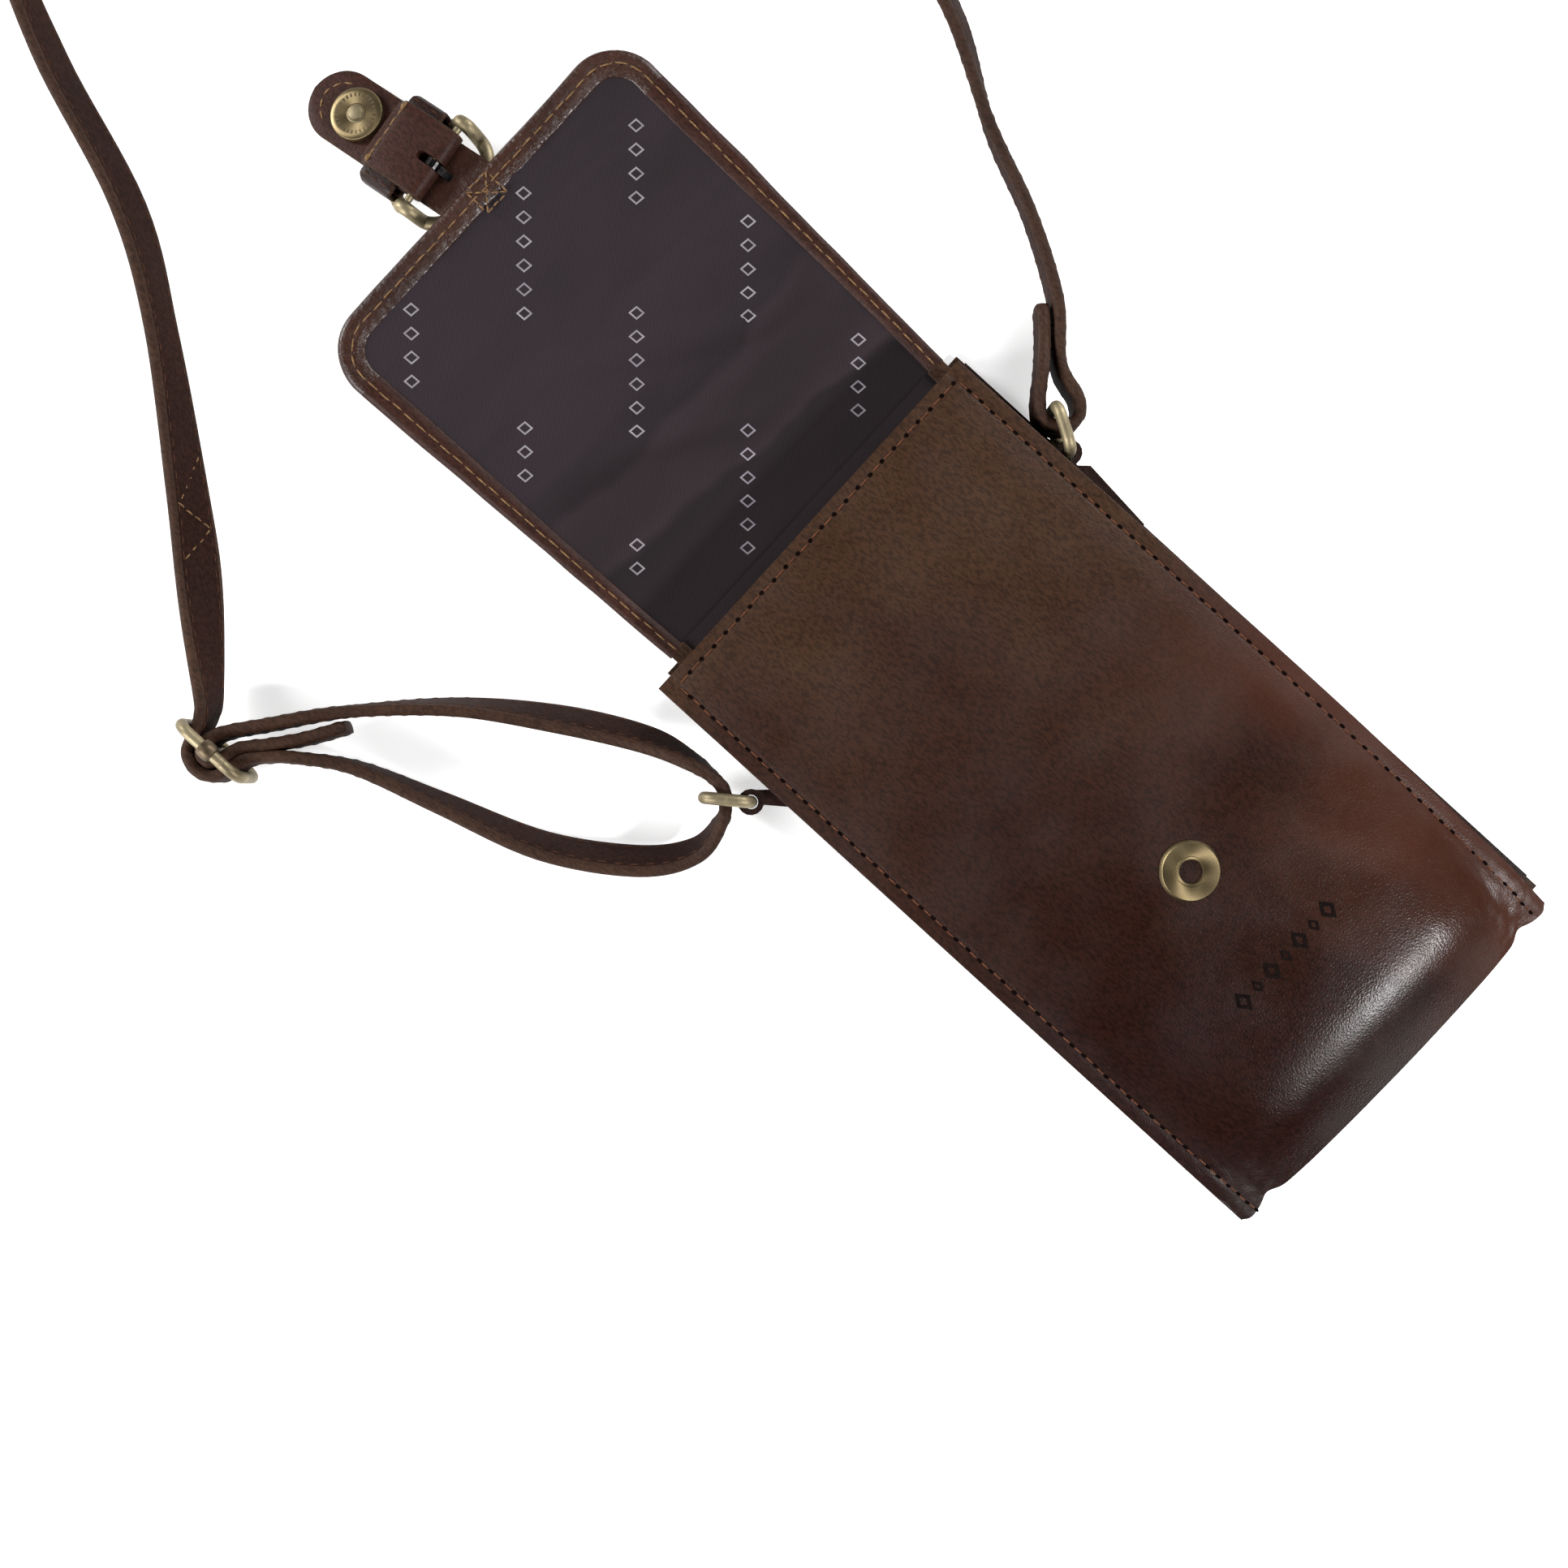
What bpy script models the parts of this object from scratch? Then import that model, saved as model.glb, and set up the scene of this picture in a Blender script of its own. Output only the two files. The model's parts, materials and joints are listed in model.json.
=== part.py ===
"""Crossbody phone purse in brown leather: pouch, opened flap, buckle tab, rings, slide and strap.

The pouch lies on its back. +Z is up, +Y runs from the pouch's bottom to its mouth and on along
the opened flap, and the origin lies on the back panel's resting face at the mouth. Metres.
"""
import math

import bmesh
import bpy
from mathutils import Vector

# Driving dimensions of the pouch.
POUCH_W = 0.100
POUCH_L = 0.181
MOUTH_H = 0.020
BULGE_H = 0.0255
BULGE_START = 0.160
SEAM_MARGIN = 0.0035
BACK_SHIFT = 0.004
LEATHER = 0.0015
GAP = 0.0003
BACK_T = 0.0016
LINING_T = 0.0006

# Flap, which leaves the back panel just past the mouth and rises a little to its end.
HINGE_Y = 0.0032
HINGE_Z = 0.0013
SPINE_L = 0.0215
FLAP_END = 0.107
FLAP_RISE = math.radians(5.5)
FLAP_HALF_ROOT = 0.047
FLAP_HALF_END = 0.0508
FLAP_CORNER = 0.0125
FLAP_LEATHER = 0.0013
BINDING_W = 0.006
BINDING_T = 0.0014

# Closure tab, built along its own axis from the line where its tongue flexes.
TAB_ROOT = 0.1025
TAB_OFFSET = 0.0015
TAB_YAW = math.radians(7)
TAB_PITCH = math.radians(-12) - FLAP_RISE
TAB_W = 0.0175
TAB_T = 0.0012
TONGUE_MID = -0.0009
BAR_U = 0.014
BAR_R = 0.0009
FOLD_L = 0.0167
SNAP_U = 0.0373
TIP_U = 0.0508
MAIN_LOW = TAB_T / 2 + GAP
MAIN_TOP = MAIN_LOW + TAB_T
BAR_LEVEL = MAIN_TOP + GAP + BAR_R
FOLD_LOW = BAR_LEVEL + BAR_R + GAP

# Magnetic snap.
SNAP_X = -0.0004
SNAP_Y = -0.115
SOCKET_R = 0.0073
STUD_R = 0.0064

# Strap, which stands on its edge, with its rings and its slide.
STRAP_W = 0.0114
STRAP_T = 0.0028
STRAP_Z = STRAP_W / 2 + GAP
RING_ROD = 0.0014
RING_SPAN = 0.0106
RING_H = 0.0150
RING_Z = 0.0123
RING_TAB_LOW = 0.0078
RING_TAB_H = 0.0078
LEFT_ROD = Vector((-0.0549, -0.0325, RING_Z))
RIGHT_ROD = Vector((0.0522, -0.0324, RING_Z))
LEFT_RING_TURN = math.radians(127)
RIGHT_RING_TURN = math.radians(60)
SLIDE_X = -0.1288
SLIDE_Y = 0.0657
SLIDE_SPAN = 0.0179
SLIDE_H = 0.0162
SLIDE_ROD = 0.0014
SLIDE_BAR = 0.0009
SLIDE_Z = SLIDE_H / 2 + SLIDE_ROD + GAP
COIL_X = 0.100
COIL_Y = 0.192
COIL_R = 0.062


def start_scene():
    for old in list(bpy.data.objects):
        bpy.data.objects.remove(old, do_unlink=True)
    collection = bpy.data.collections.new("crossbody_purse")
    bpy.context.scene.collection.children.link(collection)
    return collection


PURSE = start_scene()


def material(name, colour, roughness, metallic=0.0):
    made = bpy.data.materials.new(name)
    made.use_nodes = True
    shader = made.node_tree.nodes["Principled BSDF"]
    shader.inputs["Base Color"].default_value = (*colour, 1.0)
    shader.inputs["Roughness"].default_value = roughness
    shader.inputs["Metallic"].default_value = metallic
    return made


def leather(name):
    return material(name, (0.061, 0.030, 0.020), 0.45)


def dark_leather(name):
    return material(name, (0.048, 0.019, 0.014), 0.5)


def lining(name):
    return material(name, (0.048, 0.036, 0.045), 0.9)


def brass(name):
    return material(name, (0.30, 0.26, 0.14), 0.35, 1.0)


def black_metal(name):
    return material(name, (0.02, 0.02, 0.022), 0.3, 1.0)


def place(name, data, paint, parent=None, location=(0, 0, 0), rotation=(0, 0, 0)):
    made = bpy.data.objects.new(name, data)
    made.data.materials.append(paint(name))
    made.location = location
    made.rotation_euler = rotation
    made.parent = parent
    PURSE.objects.link(made)
    return made


def frame_empty(name, location, rotation, parent=None):
    made = bpy.data.objects.new(name, None)
    made.location = location
    made.rotation_euler = rotation
    made.rotation_mode = "XYZ"
    made.parent = parent
    PURSE.objects.link(made)
    return made


def block(name, low, high, paint, parent=None, location=(0, 0, 0)):
    """A rectangular slab between two corners."""
    mesh = bpy.data.meshes.new(name)
    work = bmesh.new()
    bmesh.ops.create_cube(work, size=1.0)
    for vertex in work.verts:
        vertex.co = Vector([(high[i] - low[i]) * (vertex.co[i] + 0.5) + low[i] for i in range(3)])
    work.to_mesh(mesh)
    work.free()
    return place(name, mesh, paint, parent, location)


def prism(name, outlines, low, high, paint, parent=None, location=(0, 0, 0), rotation=(0, 0, 0)):
    """Flat outlines (the first is the edge, the others are holes) raised from low to high."""
    curve = bpy.data.curves.new(name, "CURVE")
    curve.dimensions = "2D"
    curve.fill_mode = "BOTH"
    curve.extrude = (high - low) / 2
    for outline in outlines:
        spline = curve.splines.new("POLY")
        spline.points.add(len(outline) - 1)
        for point, (x, y) in zip(spline.points, outline):
            point.co = (x, y, 0, 1)
        spline.use_cyclic_u = True
    made = place(name, curve, paint, parent, location, rotation)
    made.delta_location = made.rotation_euler.to_matrix() @ Vector((0, 0, (low + high) / 2))
    return made


def across(name, outline, half_width, paint, parent, location=(0, 0, 0)):
    """An outline in the (Y, Z) plane spread half_width to each side in X."""
    turn = (math.pi / 2, 0, math.pi / 2)
    return prism(name, [outline], -half_width, half_width, paint, parent, location, turn)


def tube(name, points, radius, paint, cyclic=False, parent=None, location=(0, 0, 0), rotation=(0, 0, 0)):
    curve = bpy.data.curves.new(name, "CURVE")
    curve.dimensions = "3D"
    curve.bevel_depth = radius
    curve.bevel_resolution = 2
    curve.use_fill_caps = True
    spline = curve.splines.new("POLY")
    spline.points.add(len(points) - 1)
    for point, place_at in zip(spline.points, points):
        point.co = (*place_at, 1)
    spline.use_cyclic_u = cyclic
    return place(name, curve, paint, parent, location, rotation)


def turned(name, profile, paint, parent=None, location=(0, 0, 0), rotation=(0, 0, 0), steps=40):
    """A solid of revolution about Z from a (radius, height) profile, outer side top to bottom."""
    mesh = bpy.data.meshes.new(name)
    mesh.from_pydata([(r, 0, z) for r, z in profile], [(i, i + 1) for i in range(len(profile) - 1)], [])
    made = place(name, mesh, paint, parent, location, rotation)
    screw = made.modifiers.new("turn", "SCREW")
    screw.steps = steps
    screw.render_steps = steps
    screw.use_merge_vertices = True
    screw.merge_threshold = 0.00001
    return made


def arc(x, y, radius, start, end, count):
    """Points on a circle from one angle (degrees) to another, both ends included."""
    turns = [math.radians(start + (end - start) * i / count) for i in range(count + 1)]
    return [(x + radius * math.cos(a), y + radius * math.sin(a)) for a in turns]


def rounded_box(width, height, radius, count=4):
    """The outline of a rectangle with round corners, centred on the origin."""
    x = width / 2 - radius
    y = height / 2 - radius
    corners = [(x, y, 0), (-x, y, 90), (-x, -y, 180), (x, -y, 270)]
    return [point for cx, cy, a in corners for point in arc(cx, cy, radius, a, a + 90, count)]


def as_mesh(made):
    """The same object as a mesh, which a Boolean can work on; mesh objects are returned as they are."""
    if made.type == "MESH":
        return made
    bpy.context.view_layer.update()
    solid = made.evaluated_get(bpy.context.evaluated_depsgraph_get())
    mesh = bpy.data.meshes.new_from_object(solid)
    work = bmesh.new()
    work.from_mesh(mesh)
    bmesh.ops.remove_doubles(work, verts=work.verts, dist=0.000001)
    work.to_mesh(mesh)
    work.free()
    name = made.name
    made.name = name + "_curve"
    copy = bpy.data.objects.new(name, mesh)
    copy.location = made.location
    copy.delta_location = made.delta_location
    copy.rotation_euler = made.rotation_euler
    copy.parent = made.parent
    PURSE.objects.link(copy)
    bpy.data.objects.remove(made, do_unlink=True)
    return copy


def difference(target, cutter):
    target = as_mesh(target)
    cutter = as_mesh(cutter)
    cutter.hide_render = True
    cutter.display_type = "WIRE"
    PURSE.objects.unlink(cutter)
    CUTTERS.objects.link(cutter)
    cut = target.modifiers.new("cut", "BOOLEAN")
    cut.operation = "DIFFERENCE"
    cut.solver = "EXACT"
    cut.object = cutter
    return target


CUTTERS = bpy.data.collections.new("cutters")
bpy.context.scene.collection.children.link(CUTTERS)


# --- pouch -----------------------------------------------------------------------------------

def top_height(y):
    """Height of the front's outer face on the centre line, at y from the mouth (negative)."""
    t = min(1.0, -y / 0.150)
    return MOUTH_H + (BULGE_H - MOUTH_H) * t * t


def edge_drop(y):
    """How far the front's side edges lie below its centre line."""
    t = min(1.0, -y / BULGE_START)
    return 0.0008 + 0.0062 * t ** 3


def front_point(across_share, along_share, inset):
    """A point of the front's outer face, or of a face parallel to it and inset below it."""
    half = POUCH_W / 2
    flat_share = 0.72
    pinch = 1.0
    if along_share <= flat_share:
        y = -BULGE_START * along_share / flat_share
        drop = edge_drop(y) * abs(across_share) ** 3
        z = top_height(y) - drop - inset
    else:
        t = (along_share - flat_share) / (1 - flat_share)
        low = 0.011
        round_y = POUCH_L - BULGE_START - inset
        top = top_height(-BULGE_START) - edge_drop(-BULGE_START) * abs(across_share) ** 3 - inset
        if t < 0.7:
            a = math.pi / 2 * (1 - t / 0.7)
            y = -BULGE_START - round_y * math.cos(a)
            z = low + (top - low) * math.sin(a)
        else:
            down = (t - 0.7) / 0.3
            y = -BULGE_START - round_y + 0.0010 * down
            z = low - (low - BACK_T - GAP) * down
        pinch = 1.0 - 0.03 * math.sin(math.pi / 2 * t)
    return Vector((across_share * half * pinch, y, z))


def front_sheet(name, inset, thickness, side_share, start, end, rows, paint):
    """A sheet that follows the front, from one share of its length to another."""
    columns = 12
    mesh = bpy.data.meshes.new(name)
    points = []
    for row in range(rows + 1):
        along = start + (end - start) * row / rows
        for column in range(columns + 1):
            share = side_share * (2 * column / columns - 1)
            points.append(front_point(share, along, inset))
    width = columns + 1
    faces = []
    for row in range(rows):
        for column in range(columns):
            corner = row * width + column
            faces.append((corner, corner + width, corner + width + 1, corner + 1))
    mesh.from_pydata(points, [], faces)
    made = place(name, mesh, paint)
    skin = made.modifiers.new("thickness", "SOLIDIFY")
    skin.thickness = thickness
    skin.offset = -1
    skin.use_even_offset = True
    return made


def pouch_panels():
    half = POUCH_W / 2
    block("back_panel", (-half + BACK_SHIFT, -POUCH_L, 0), (half + BACK_SHIFT, 0.0022, BACK_T), leather)
    front_sheet("front_panel", 0, LEATHER, 1.0, 0.0, 1.0, 26, leather)
    front_sheet("mouth_facing", LEATHER + GAP, 0.0010, 0.90, 0.001, 0.040, 2, dark_leather)
    front_sheet("front_lining", 0.0029, LINING_T, 0.81, 0.043, 0.985, 18, lining)
    inner = half - SEAM_MARGIN - 0.0018
    low_z = BACK_T + GAP
    low = (-inner + BACK_SHIFT, -0.1745, low_z)
    high = (inner + BACK_SHIFT, -0.0015, low_z + LINING_T)
    block("back_lining", low, high, lining)


def gusset(name, side):
    """A channel section with both flanges turned out under the seams, swept down one side."""
    half = POUCH_W / 2
    flange = 0.0012
    web = 0.0013
    stations = 18
    points = []
    for i in range(stations + 1):
        along = 0.002 + 0.858 * i / stations
        edge = front_point(1.0, along, LEATHER + GAP)
        inner_edge = front_point(0.90, along, LEATHER + GAP)
        top = min(edge.z, inner_edge.z) - 0.0001
        low = BACK_T + GAP
        foot = side * half + BACK_SHIFT
        head = side * half
        rows = [
            (foot, low), (foot, low + flange), (foot - side * SEAM_MARGIN, low + flange),
            (head - side * SEAM_MARGIN, top - flange), (head, top - flange), (head, top),
            (head - side * (SEAM_MARGIN + web), top), (foot - side * (SEAM_MARGIN + web), low),
        ]
        points.extend(Vector((x, edge.y, z)) for x, z in rows)
    count = 8
    faces = [tuple(range(count)), tuple(reversed(range(stations * count, stations * count + count)))]
    for i in range(stations):
        for j in range(count):
            a = i * count + j
            b = i * count + (j + 1) % count
            faces.append((a, a + count, b + count, b))
    mesh = bpy.data.meshes.new(name)
    mesh.from_pydata(points, [], faces)
    work = bmesh.new()
    work.from_mesh(mesh)
    bmesh.ops.recalc_face_normals(work, faces=work.faces)
    work.to_mesh(mesh)
    work.free()
    place(name, mesh, dark_leather)


def snap_socket():
    """The disc with its dark socket on the front, and its plate behind the leather."""
    base = top_height(SNAP_Y)
    tilt = math.atan(2 * (BULGE_H - MOUTH_H) * -SNAP_Y / 0.150 ** 2)
    turn = (-tilt, 0, 0)
    up = Vector((0, -math.sin(-tilt), math.cos(tilt)))
    centre = Vector((SNAP_X, SNAP_Y, base))
    disc = [
        (0.0024, 0.0020), (0.0026, 0.0022), (SOCKET_R - 0.0008, 0.0019), (SOCKET_R, 0.0013),
        (SOCKET_R, 0.0002), (SOCKET_R - 0.0003, 0), (0.0024, 0), (0.0024, 0.0020),
    ]
    turned("snap_socket_disc", disc, brass, location=centre + up * GAP, rotation=turn)
    core = [(0, 0.0014), (0.0019, 0.0014), (0.0021, 0.0012), (0.0021, 0), (0, 0)]
    turned("snap_socket_core", core, black_metal, location=centre + up * GAP, rotation=turn, steps=24)
    plate = [(0, 0.0006), (0.0055, 0.0006), (0.0055, 0), (0, 0)]
    below = LEATHER + 0.0004 + 0.0006
    turned("snap_socket_plate", plate, black_metal, location=centre - up * below, rotation=turn, steps=24)


# --- flap ------------------------------------------------------------------------------------

def flap_outline(start, inset):
    """Half widths grow to the end, with round corners; the start edge is straight."""
    end = FLAP_END - inset
    radius = max(0.004, FLAP_CORNER - inset)
    half_start = FLAP_HALF_ROOT + (FLAP_HALF_END - FLAP_HALF_ROOT) * start / FLAP_END - inset
    half_end = FLAP_HALF_END - inset
    right = [(half_start, start)] + arc(half_end - radius, end - radius, radius, 0, 90, 6)
    left = [(-x, y) for x, y in reversed(right)]
    return right + left


def flap_parts(frame):
    """Leather, lining and turned edge of the spine and of the flap beyond its second fold."""
    miter = 0.0016
    inner_miter = 0.0033
    low = FLAP_LEATHER + GAP
    pivot = (0, SPINE_L, 0)

    def spine_strip(name, x0, x1, v0, v1, w0, w1, paint):
        block(name, (x0, v0, w0), (x1, v1, w1), paint, frame)

    root = FLAP_HALF_ROOT
    strip = root - BINDING_W
    stop = SPINE_L - inner_miter
    spine_strip("flap_spine", -root, root, 0.0006, SPINE_L - miter, 0, FLAP_LEATHER, leather)
    spine_strip("spine_lining", GAP - strip, strip - GAP, 0.0012, stop, low, low + LINING_T, lining)
    spine_strip("spine_binding_left", -root, -strip, 0.0012, stop, low, low + BINDING_T, dark_leather)
    spine_strip("spine_binding_right", strip, root, 0.0012, stop, low, low + BINDING_T, dark_leather)

    def moved(outline):
        return [(x, y - SPINE_L) for x, y in outline]

    panel = moved(flap_outline(SPINE_L + miter, 0))
    prism("flap_panel", [panel], 0, FLAP_LEATHER, leather, frame, pivot)
    start = SPINE_L + inner_miter
    rim = moved(flap_outline(start, 0)) + list(reversed(moved(flap_outline(start, BINDING_W))))
    prism("flap_binding", [rim], low, low + BINDING_T, dark_leather, frame, pivot)
    cloth = moved(flap_outline(start, BINDING_W + GAP))
    prism("flap_lining", [cloth], low, low + LINING_T, lining, frame, pivot)
    tongue_half = TAB_W / 2 - 0.0005
    tongue = [
        (-tongue_half, 0.0865), (-0.005, 0.0815), (0.005, 0.0815), (tongue_half, 0.0865),
        (tongue_half, TAB_ROOT - 0.0010), (-tongue_half, TAB_ROOT - 0.0010),
    ]
    shift = [(x + TAB_OFFSET, y) for x, y in moved(tongue)]
    prism("tongue_root", [shift], TONGUE_MID - TAB_T / 2, TONGUE_MID + TAB_T / 2, leather, frame, pivot)


def tab_frame(frame):
    location = (TAB_OFFSET, TAB_ROOT, TONGUE_MID)
    return frame_empty("tab_frame", location, (TAB_PITCH, 0, TAB_YAW), frame)


def tab_parts(tab):
    half = TAB_W / 2
    tongue_half = half - 0.0005
    tongue = [(-tongue_half, 0.0008), (tongue_half, 0.0008), (tongue_half, 0.027), (0.005, 0.032)]
    tongue += [(-0.005, 0.032), (-tongue_half, 0.027)]
    strip = prism("tongue_end", [tongue], -TAB_T / 2, TAB_T / 2, leather, tab)
    hole = block("tongue_hole", (-0.0014, 0.0058, -0.002), (0.0014, 0.0128, 0.002), leather, tab)
    difference(strip, hole)

    outer = BAR_R + GAP + TAB_T
    inner = BAR_R + GAP
    fold_end = BAR_U + FOLD_L
    wrap = [(TIP_U, MAIN_LOW), (TIP_U, MAIN_TOP)]
    wrap += arc(BAR_U, BAR_LEVEL, inner, 270, 90, 8)
    wrap += [(fold_end - 0.0020, FOLD_LOW), (fold_end, MAIN_TOP + GAP), (fold_end, MAIN_TOP + GAP + TAB_T)]
    wrap += [(fold_end - 0.0014, FOLD_LOW + TAB_T)]
    wrap += arc(BAR_U, BAR_LEVEL, outer, 90, 270, 12)
    strap = across("tab_strap", wrap, half, leather, tab)
    bounds = [(-half, 0.005)] + [(half, 0.005)]
    tip = arc(0, TIP_U - half, half, 0, 180, 14)
    outline = bounds + tip
    window = [(-0.03, -0.01), (0.03, -0.01), (0.03, 0.07), (-0.03, 0.07)]
    trim = prism("tip_trim", [window, outline], -0.01, 0.02, leather, tab)
    strap = difference(strap, trim)
    slot = block("prong_slot", (-0.0013, 0.008, -0.001), (0.0013, 0.0175, 0.012), leather, tab)
    difference(strap, slot)

    keeper_half = 0.0119
    band = 0.0012
    keeper_top = MAIN_TOP + GAP + band
    keeper_low = -TAB_T / 2 - GAP - band
    ring = rounded_box(2 * keeper_half, keeper_top - keeper_low, 0.0015, 2)
    hole_ring = rounded_box(2 * (keeper_half - band), keeper_top - keeper_low - 2 * band, 0.0006, 2)
    middle = (keeper_top + keeper_low) / 2
    lift = (0, 0, middle)
    turn = (math.pi / 2, 0, 0)
    keeper = prism("keeper_loop", [ring, hole_ring], -0.0283, -0.0185, leather, tab, lift, turn)
    clearance = block("keeper_notch", (-0.02, 0.018, -0.010), (0.02, 0.0262, -TAB_T / 2), leather, tab)
    difference(keeper, clearance)


def buckle(tab):
    """The arched oval frame, its centre bar and the prong that hangs on the bar."""
    span_u = 0.0098
    span_x = 0.0118
    low = -TAB_T / 2 - GAP - 0.0014
    high = BAR_LEVEL - 0.0006
    ring = []
    for i in range(40):
        a = 2 * math.pi * i / 40
        x = span_x * math.copysign(abs(math.cos(a)) ** 0.75, math.cos(a))
        u = span_u * math.copysign(abs(math.sin(a)) ** 0.9, math.sin(a))
        share = min(1.0, max(0.0, (abs(u / span_u) - 0.10) / 0.30))
        fall = share * share * (3 - 2 * share)
        ring.append((x, BAR_U + u, high + (low - high) * fall))
    tube("buckle_frame", ring, 0.0014, brass, cyclic=True, parent=tab)
    reach = span_x - 0.0014 - GAP
    bar = [(-reach, 0, 0), (reach, 0, 0)]
    tube("buckle_bar", bar, BAR_R, brass, parent=tab, location=(0, BAR_U, BAR_LEVEL))
    eye = BAR_R + 0.0001
    thick = 0.0009
    shank_end = 0.0062 - BAR_U
    outline = [(eye + thick, -0.0004)] + arc(0, 0, eye + thick, 0, 185, 10)
    outline += [(-0.0028, -0.0016), (shank_end, -0.0048), (shank_end, -0.0060), (-0.0030, -0.0034)]
    outline += [(0.0002, -eye - thick), (0.0014, -0.0014)]
    hole = arc(0, 0, eye, 0, 330, 11)
    turn = (math.pi / 2, 0, math.pi / 2)
    prism("buckle_prong", [outline, hole], -0.0009, 0.0009, black_metal, tab, (0, BAR_U, BAR_LEVEL), turn)


def snap_stud(tab):
    disc = [
        (0.0023, 0.0016), (STUD_R - 0.0010, 0.0016), (STUD_R, 0.0009), (STUD_R, 0.0002),
        (STUD_R - 0.0002, 0), (0.0023, 0), (0.0023, 0.0016),
    ]
    base = (0, SNAP_U, MAIN_TOP + GAP)
    turned("snap_stud_disc", disc, brass, tab, base)
    boss = [(0, 0.0026), (0.0014, 0.0026), (0.0020, 0.0022), (0.0020, 0), (0, 0)]
    turned("snap_stud_boss", boss, brass, tab, base, steps=24)


# --- rings, slide and strap --------------------------------------------------------------------

def ring_and_tab(side_name, rod, turn, tail_points):
    """A ring on edge whose inner rod is its pivot, and the leather tab that loops round that rod."""
    outline = rounded_box(RING_SPAN, RING_H, 0.0030, 4)
    points = [(x + RING_SPAN / 2, 0, z) for x, z in outline]
    tube("ring_" + side_name, points, RING_ROD, brass, True, None, rod, (0, 0, turn))
    hole = arc(rod.x, rod.y, RING_ROD + GAP, 0, 345, 15)
    top = RING_TAB_LOW + RING_TAB_H
    prism("ring_tab_" + side_name, [tail_points, hole], RING_TAB_LOW, top, dark_leather)


def left_tab_outline(rod):
    radius = RING_ROD + GAP + 0.0013
    loop = arc(rod.x, rod.y, radius, 20, 300, 12)
    web = -POUCH_W / 2 + SEAM_MARGIN - GAP
    return loop + [(web - 0.0028, -0.0400), (web - 0.0014, -0.0545), (web, -0.0545), (web, -0.0370)]


def right_tab_outline(rod):
    radius = RING_ROD + GAP + 0.0013
    loop = arc(rod.x, rod.y, radius, 230, 520, 12)
    web = POUCH_W / 2 - SEAM_MARGIN + BACK_SHIFT * 0.85 + GAP
    return list(reversed(loop)) + [(web + 0.0030, -0.0380), (web + 0.0014, -0.0560), (web, -0.0560)]


def slide():
    outline = rounded_box(SLIDE_SPAN, SLIDE_H, 0.0035, 4)
    points = [(0, y, z) for y, z in outline]
    tube("slide_frame", points, SLIDE_ROD, brass, True, None, (SLIDE_X, SLIDE_Y, SLIDE_Z))
    reach = SLIDE_H / 2 - SLIDE_ROD - GAP
    bar = [(0, 0, -reach), (0, 0, reach)]
    tube("slide_bar", bar, SLIDE_BAR, brass, False, None, (SLIDE_X, SLIDE_Y, SLIDE_Z))


def smooth(route, per_span):
    """A Catmull-Rom curve through the route, with per_span points between neighbours."""
    points = []
    last = len(route) - 1
    for i in range(last):
        p0 = Vector(route[max(0, i - 1)])
        p1 = Vector(route[i])
        p2 = Vector(route[i + 1])
        p3 = Vector(route[min(last, i + 2)])
        for k in range(per_span):
            t = k / per_span
            a = p1 * 2
            b = (p2 - p0) * t
            c = (p0 * 2 - p1 * 5 + p2 * 4 - p3) * t * t
            d = (p1 * 3 - p0 - p2 * 3 + p3) * t ** 3
            points.append((a + b + c + d) / 2)
    points.append(Vector(route[last]))
    return points


def millimetres(rows):
    return [(x / 1000, y / 1000, z / 1000) for x, y, z in rows]


# The strap's centre line: x, y and height of its middle, in millimetres.
FLOOR = STRAP_Z * 1000
AT_RING = RING_Z * 1000
AT_SLIDE = SLIDE_Z * 1000
TAIL_AND_UPPER_LEG = [
    (-104.6, 47.6, 7.5), (-112.4, 52.3, 8.4), (-118.6, 56.9, AT_SLIDE), (-124.2, 61.6, AT_SLIDE),
    (-128.8, 63.1, AT_SLIDE), (-131.1, 64.4, AT_SLIDE), (-131.4, 65.7, AT_SLIDE), (-131.1, 67.0, AT_SLIDE),
    (-128.8, 68.3, AT_SLIDE), (-124.4, 67.0, AT_SLIDE), (-116.6, 61.2, AT_SLIDE), (-102.1, 50.1, 7.2),
    (-84.3, 32.2, FLOOR), (-70.3, 12.5, FLOOR), (-60.6, -5.0, 8.2), (-57.3, -15.9, AT_RING),
    (-56.6, -22.4, AT_RING), (-57.1, -26.0, AT_RING), (-59.0, -28.4, AT_RING), (-62.5, -30.4, AT_RING),
]
LOWER_LEG = [
    (-71.7, -30.6, 9.4), (-82.5, -22.5, 7.0), (-94.9, -3.7, FLOOR), (-103.3, 20.0, FLOOR),
    (-110.2, 39.5, 7.4), (-117.4, 50.9, AT_SLIDE), (-122.0, 56.3, AT_SLIDE), (-125.6, 59.2, AT_SLIDE),
    (-128.8, 60.0, AT_SLIDE), (-132.9, 61.7, AT_SLIDE), (-134.5, 65.7, AT_SLIDE), (-132.9, 69.7, AT_SLIDE),
    (-128.8, 71.4, AT_SLIDE), (-124.6, 72.9, AT_SLIDE),
]
LEFT_SHOULDER = [
    (-120.0, 76.9, 8.8), (-103.7, 96.0, FLOOR), (-89.7, 112.3, FLOOR), (-66.3, 141.6, FLOOR),
    (-50.0, 167.1, FLOOR), (-36.5, 204.0, FLOOR), (-22.0, 230.0, FLOOR), (4.0, 248.5, FLOOR),
    (38.0, 257.5, FLOOR), (70.0, 261.0, FLOOR), (98.0, 261.5, FLOOR), (120.0, 256.6, FLOOR),
    (138.0, 243.5, FLOOR),
]
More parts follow.
